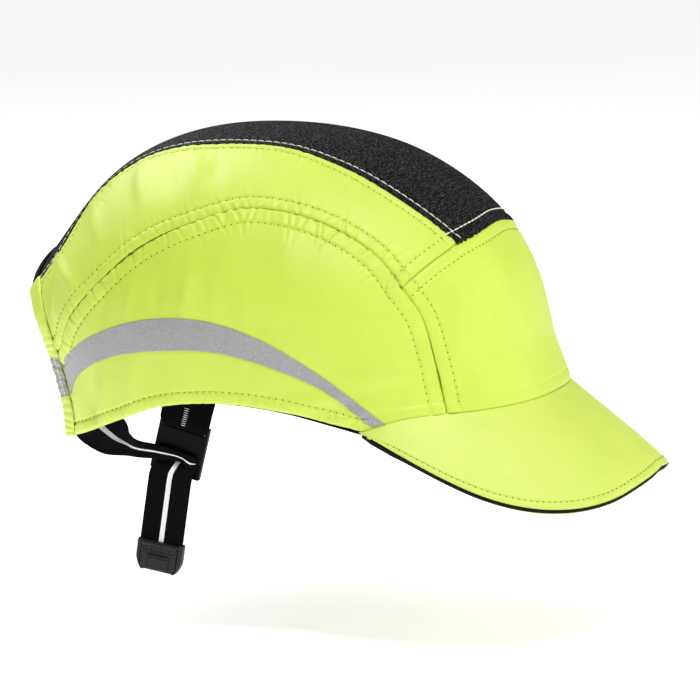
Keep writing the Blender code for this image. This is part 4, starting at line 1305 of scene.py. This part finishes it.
def plate(name, x, z, front, back, material):
    """A closed plate in the clip's frame, in millimetres, between two relief faces on one grid."""
    rows, columns = x.shape
    local = np.stack([np.stack([x, y, z], axis=-1).reshape(-1, 3) for y in (front, back)]).reshape(-1, 3) * MM
    points = hung(local, TAIL_PIVOT, TAIL_TILT)
    item = closed_mesh(name, points, slab_faces(rows, columns), [material])
    item.data.set_sharp_from_angle(angle=np.radians(50))
    return item


def clip_grid(outline, columns, rows):
    """Across and down over an outline of half widths, closer together at its rim."""
    drops, halves = np.array(outline).T
    share = np.linspace(0, 1, rows)
    fine = drops[0] + (drops[-1] - drops[0]) * (share - np.sin(4 * np.pi * share) / 60)
    half = np.interp(fine, drops, halves)
    turn = np.linspace(-1, 1, columns)
    u = turn + np.sin(np.pi * turn) / 12
    return half[:, None] * u[None], np.repeat(fine[:, None], columns, axis=1), half[:, None]


def build_clip():
    """The folding clip: a back with two side rails, and a jaw with its bar, four cells and a thumb tab."""
    material = MATERIALS["clip"]
    top = CLIP_TOP / MM
    x, drop, half = clip_grid(CLIP_OUTLINE, 200, 110)
    jaw_half = np.interp(drop, *np.array(JAW_OUTLINE).T) + RAIL_GAP
    rail = step_up(np.abs(x), jaw_half, 0.06)
    inset = np.minimum(np.minimum(half - np.abs(x), drop + 0.1), CLIP_HEIGHT / MM - drop + 0.1)
    front = CLIP_BACK[0] / MM + (RAIL_FRONT - CLIP_BACK[0] / MM) * rail + rounded(inset, 0.4)
    back = CLIP_BACK[1] / MM - rounded(inset, 0.4)
    item = plate("clip_back_plate", x, top - drop, front, back, material)
    finish_piece(item, "clip", "clip_plastic", "clip_body")

    x, drop, half = clip_grid(JAW_OUTLINE, 190, 150)
    radius, axis = BARREL_RADIUS / MM, HINGE_DROP / MM
    round_part = np.sqrt(np.clip(radius ** 2 - (drop - axis) ** 2, 0, None))
    inset = np.minimum(half - np.abs(x), drop[-1, 0] - drop + 0.05)
    low, high, pitch, cell = CELLS
    cells = sum(inside_band(x, k * pitch - cell, k * pitch + cell) for k in (-1.5, -0.5, 0.5, 1.5))
    tab_half, tab_top, tab_foot = TAB_OUTLINE
    tab = inside_band(x, -tab_half, tab_half, 0.25) * inside_band(drop, tab_top, tab_foot, 0.25)
    ridge = sum(np.exp(-((drop - place) / 0.24) ** 2) for place in RIDGES)
    ridge = ridge * inside_band(x, -tab_half + 0.3, tab_half - 0.3, 0.4)
    edge_line = np.exp(-((np.abs(x) - tab_half - 0.35) / 0.16) ** 2)
    edge_line = edge_line * inside_band(drop, tab_top, tab_foot, 0.3)
    dimple = np.exp(-(((x - DIMPLE[0]) ** 2 + (drop - DIMPLE[1]) ** 2) / DIMPLE[2] ** 2) ** 2)
    face = JAW_PLATE[0] / MM - TAB_PROUD * tab - 0.30 * ridge + 0.18 * edge_line + 0.30 * dimple
    face += 0.32 * cells * inside_band(drop, low, high) + 0.14 * np.exp(-((drop - 5.3) / 0.18) ** 2)
    face = np.where(drop < axis + radius, np.minimum(face, HINGE_OUT / MM - round_part), face)
    face = np.where(drop < axis, HINGE_OUT / MM - round_part, face) + rounded(inset, 0.3)
    back = np.where(drop < axis, HINGE_OUT / MM + round_part + 0.02, JAW_PLATE[1] / MM)
    back = np.where(drop < axis + radius, np.maximum(HINGE_OUT / MM + round_part + 0.02, -0.3), back)
    item = plate("clip_jaw_plate", x, top - drop, face, np.maximum(back, face + 0.02), material)
    finish_piece(item, "jaw", "clip_plastic", "clip_jaw")
    reach = CLIP_WIDTH / 2 + 0.0007
    pin_z = CLIP_TOP - HINGE_DROP
    ends = [hung([(side * reach, HINGE_OUT, pin_z)], TAIL_PIVOT, TAIL_TILT) for side in (-1, 1)]
    up = np.array([(0.0, -1.0, 0.0)])
    pin = capsule_row("clip_pin", ends[0], ends[1], up, 0.0005, 0.0, material, 16, 9)
    finish_piece(pin, "jaw", "clip_plastic")


# Shell, pads and sweatband

SHELL_ROWS = (288, 72)
SHELL_RIBS = (0.0, 0.026, 0.050)
PAD_SHRINK = 0.0008
PAD_VOXEL = 0.0025
PAD_PRESSURE = 4.0
PAD_FRAMES = 20
PAD_LIMIT = 0.0010
PAD_CHANNEL = (0.0011, 0.0013)


def build_shell():
    """The hard liner: a smooth dome with a rolled rim and low moulded ribs that run over it."""
    round_it = np.linspace(-180, 180, SHELL_ROWS[0] + 1)
    azimuth, share = np.meshgrid(round_it, np.linspace(0, 0.995, SHELL_ROWS[1]), indexing="ij")
    rim_azimuth, rim_elevation = np.array(SHELL_RIM).T
    rim = np.interp(np.abs(azimuth), rim_azimuth, rim_elevation)
    points = direction(azimuth, rim + (90 - rim) * share)
    outer = crown_point(points, SHELL[0])
    ribs = sum(np.exp(-((np.abs(outer[..., 1]) - place) / 0.0022) ** 4) for place in SHELL_RIBS)
    lip = np.exp(-(share / 0.03) ** 2)
    depth = SHELL[0] - SHELL[1] - 0.0008 * np.clip(ribs, 0, 1) * (share > 0.1) - 0.0006 * lip
    inner = crown_point(points, depth)
    rows, columns = share.shape
    faces = grid_faces(rows, columns)
    count = rows * columns
    index = np.arange(count).reshape(rows, columns)
    rim_wall = np.stack([index[:-1, 0], index[1:, 0], index[1:, 0] + count, index[:-1, 0] + count], axis=-1)
    caps = [index[:-1, -1].tolist(), (index[:-1, -1] + count).tolist()]
    faces = np.concatenate([faces, faces[:, ::-1] + count, rim_wall]).tolist() + caps
    points = np.concatenate([outer.reshape(-1, 3), inner.reshape(-1, 3)])
    item = add_mesh("shell_liner", points, faces, MATERIALS["shell"])
    solid = bmesh.new()
    solid.from_mesh(item.data)
    bmesh.ops.remove_doubles(solid, verts=solid.verts, dist=0.000001)
    bmesh.ops.recalc_face_normals(solid, faces=solid.faces)
    solid.to_mesh(item.data)
    solid.free()
    finish_piece(item, "cap", "shell_plastic", "protective_shell")


def mesh_points(mesh):
    flat = np.zeros(3 * len(mesh.vertices), np.float32)
    mesh.vertices.foreach_get("co", flat)
    return flat.reshape(-1, 3).astype(float)


def swell(item):
    """Let a closed pad fill out as cloth under pressure, no point further than PAD_LIMIT."""
    remesh = item.modifiers.new("even", "REMESH")
    remesh.mode = "VOXEL"
    remesh.voxel_size = PAD_VOXEL
    apply_modifiers(item)
    rest = mesh_points(item.data)
    cloth = item.modifiers.new("filling", "CLOTH")
    cloth.settings.use_pressure = True
    cloth.settings.uniform_pressure_force = PAD_PRESSURE
    cloth.settings.effector_weights.gravity = 0.0
    for number in range(1, PAD_FRAMES + 1):
        bpy.context.scene.frame_set(number)
    graph = bpy.context.evaluated_depsgraph_get()
    step = mesh_points(item.evaluated_get(graph).data) - rest
    item.modifiers.clear()
    bpy.context.scene.frame_set(1)
    far = np.linalg.norm(step, axis=-1, keepdims=True)
    step *= np.minimum(1.0, PAD_LIMIT / np.maximum(far, 1e-9))
    item.data.vertices.foreach_set("co", (rest + step).astype(np.float32).ravel())


def pad(name, grid, layer, material, slot, node, sewn_rows=(), sewn_columns=()):
    """A soft pad inside the shell, on a grid of directions; some rows and columns are sewn down last."""
    outer = crown_point(grid, layer[0] - PAD_SHRINK)
    inner = crown_point(grid, layer[0] - layer[1] + PAD_SHRINK)
    points = np.concatenate([outer.reshape(-1, 3), inner.reshape(-1, 3)])
    item = closed_mesh(name, points, slab_faces(*grid.shape[:2]), [MATERIALS[material]])
    swell(item)
    smooth = item.modifiers.new("smooth", "SUBSURF")
    smooth.levels = 2
    smooth.render_levels = 2
    apply_modifiers(item)
    place = mesh_points(item.data)
    towards = -crown_normal(unit(place))
    depth = np.zeros(len(place))
    for line in [inner[row] for row in sewn_rows] + [inner[:, column] for column in sewn_columns]:
        distance, _ = near(place, line)
        depth += PAD_CHANNEL[0] * np.exp(-(distance / PAD_CHANNEL[1]) ** 2)
    place -= towards * np.minimum(depth, PAD_CHANNEL[0])[:, None]
    item.data.vertices.foreach_set("co", place.astype(np.float32).ravel())
    item.data.shade_smooth()
    finish_piece(item, "cap", slot, node)


def build_pads():
    side = degree_patch(*SIDE_FOAM, (36, 16))
    quilt = (9, 18, 27)
    pad("right_side_pad", side, FOAM, "foam", "foam", "right_foam_pad", quilt)
    pad("left_side_pad", flipped(side), FOAM, "foam", "foam", "left_foam_pad", quilt)
    pad("forehead_pad", degree_patch(*FRONT_FOAM, (32, 16)), FOAM, "foam", "foam", "front_foam_pad",
        (8, 16, 24))
    pad("back_pad", degree_patch(*REAR_FOAM, (22, 10)), FOAM, "foam", "foam", "rear_foam_pad", (11,))
    back, front, half = CROWN_FOAM_SIZE
    x, y = np.meshgrid(np.linspace(back, front, 41), np.linspace(-half, half, 21), indexing="ij")
    top = unit(np.stack([x, y, np.full_like(x, CROWN_FOAM_PLANE)], axis=-1))
    pad("crown_pad", top, FOAM, "foam", "foam", "crown_foam_pad", (10, 20, 30))
    first, last, low, high = SWEATBAND_REACH
    pad("forehead_sweatband", degree_patch(first, last, low, high, (80, 8)), SWEATBAND, "terry",
        "sweatband_fabric", "sweatband", (), (1, 7))


# Materials of the CAD nodes that keep their shape

def finish_nodes():
    for name, material in (("buckle_frame", "plastic"), ("peak_board", "board")):
        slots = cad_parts[name].material_slots
        for slot in slots:
            slot.material = MATERIALS[material]


MATERIALS = make_materials()
build_studio()
build_pads()
build_shell()
build_panels()
build_backing()
build_mesh()
build_stitches()
build_tape()
build_bindings()
build_linings()
build_peak()
build_hem_webbing()
build_nape_strap()
build_tail()
build_clip()
finish_nodes()
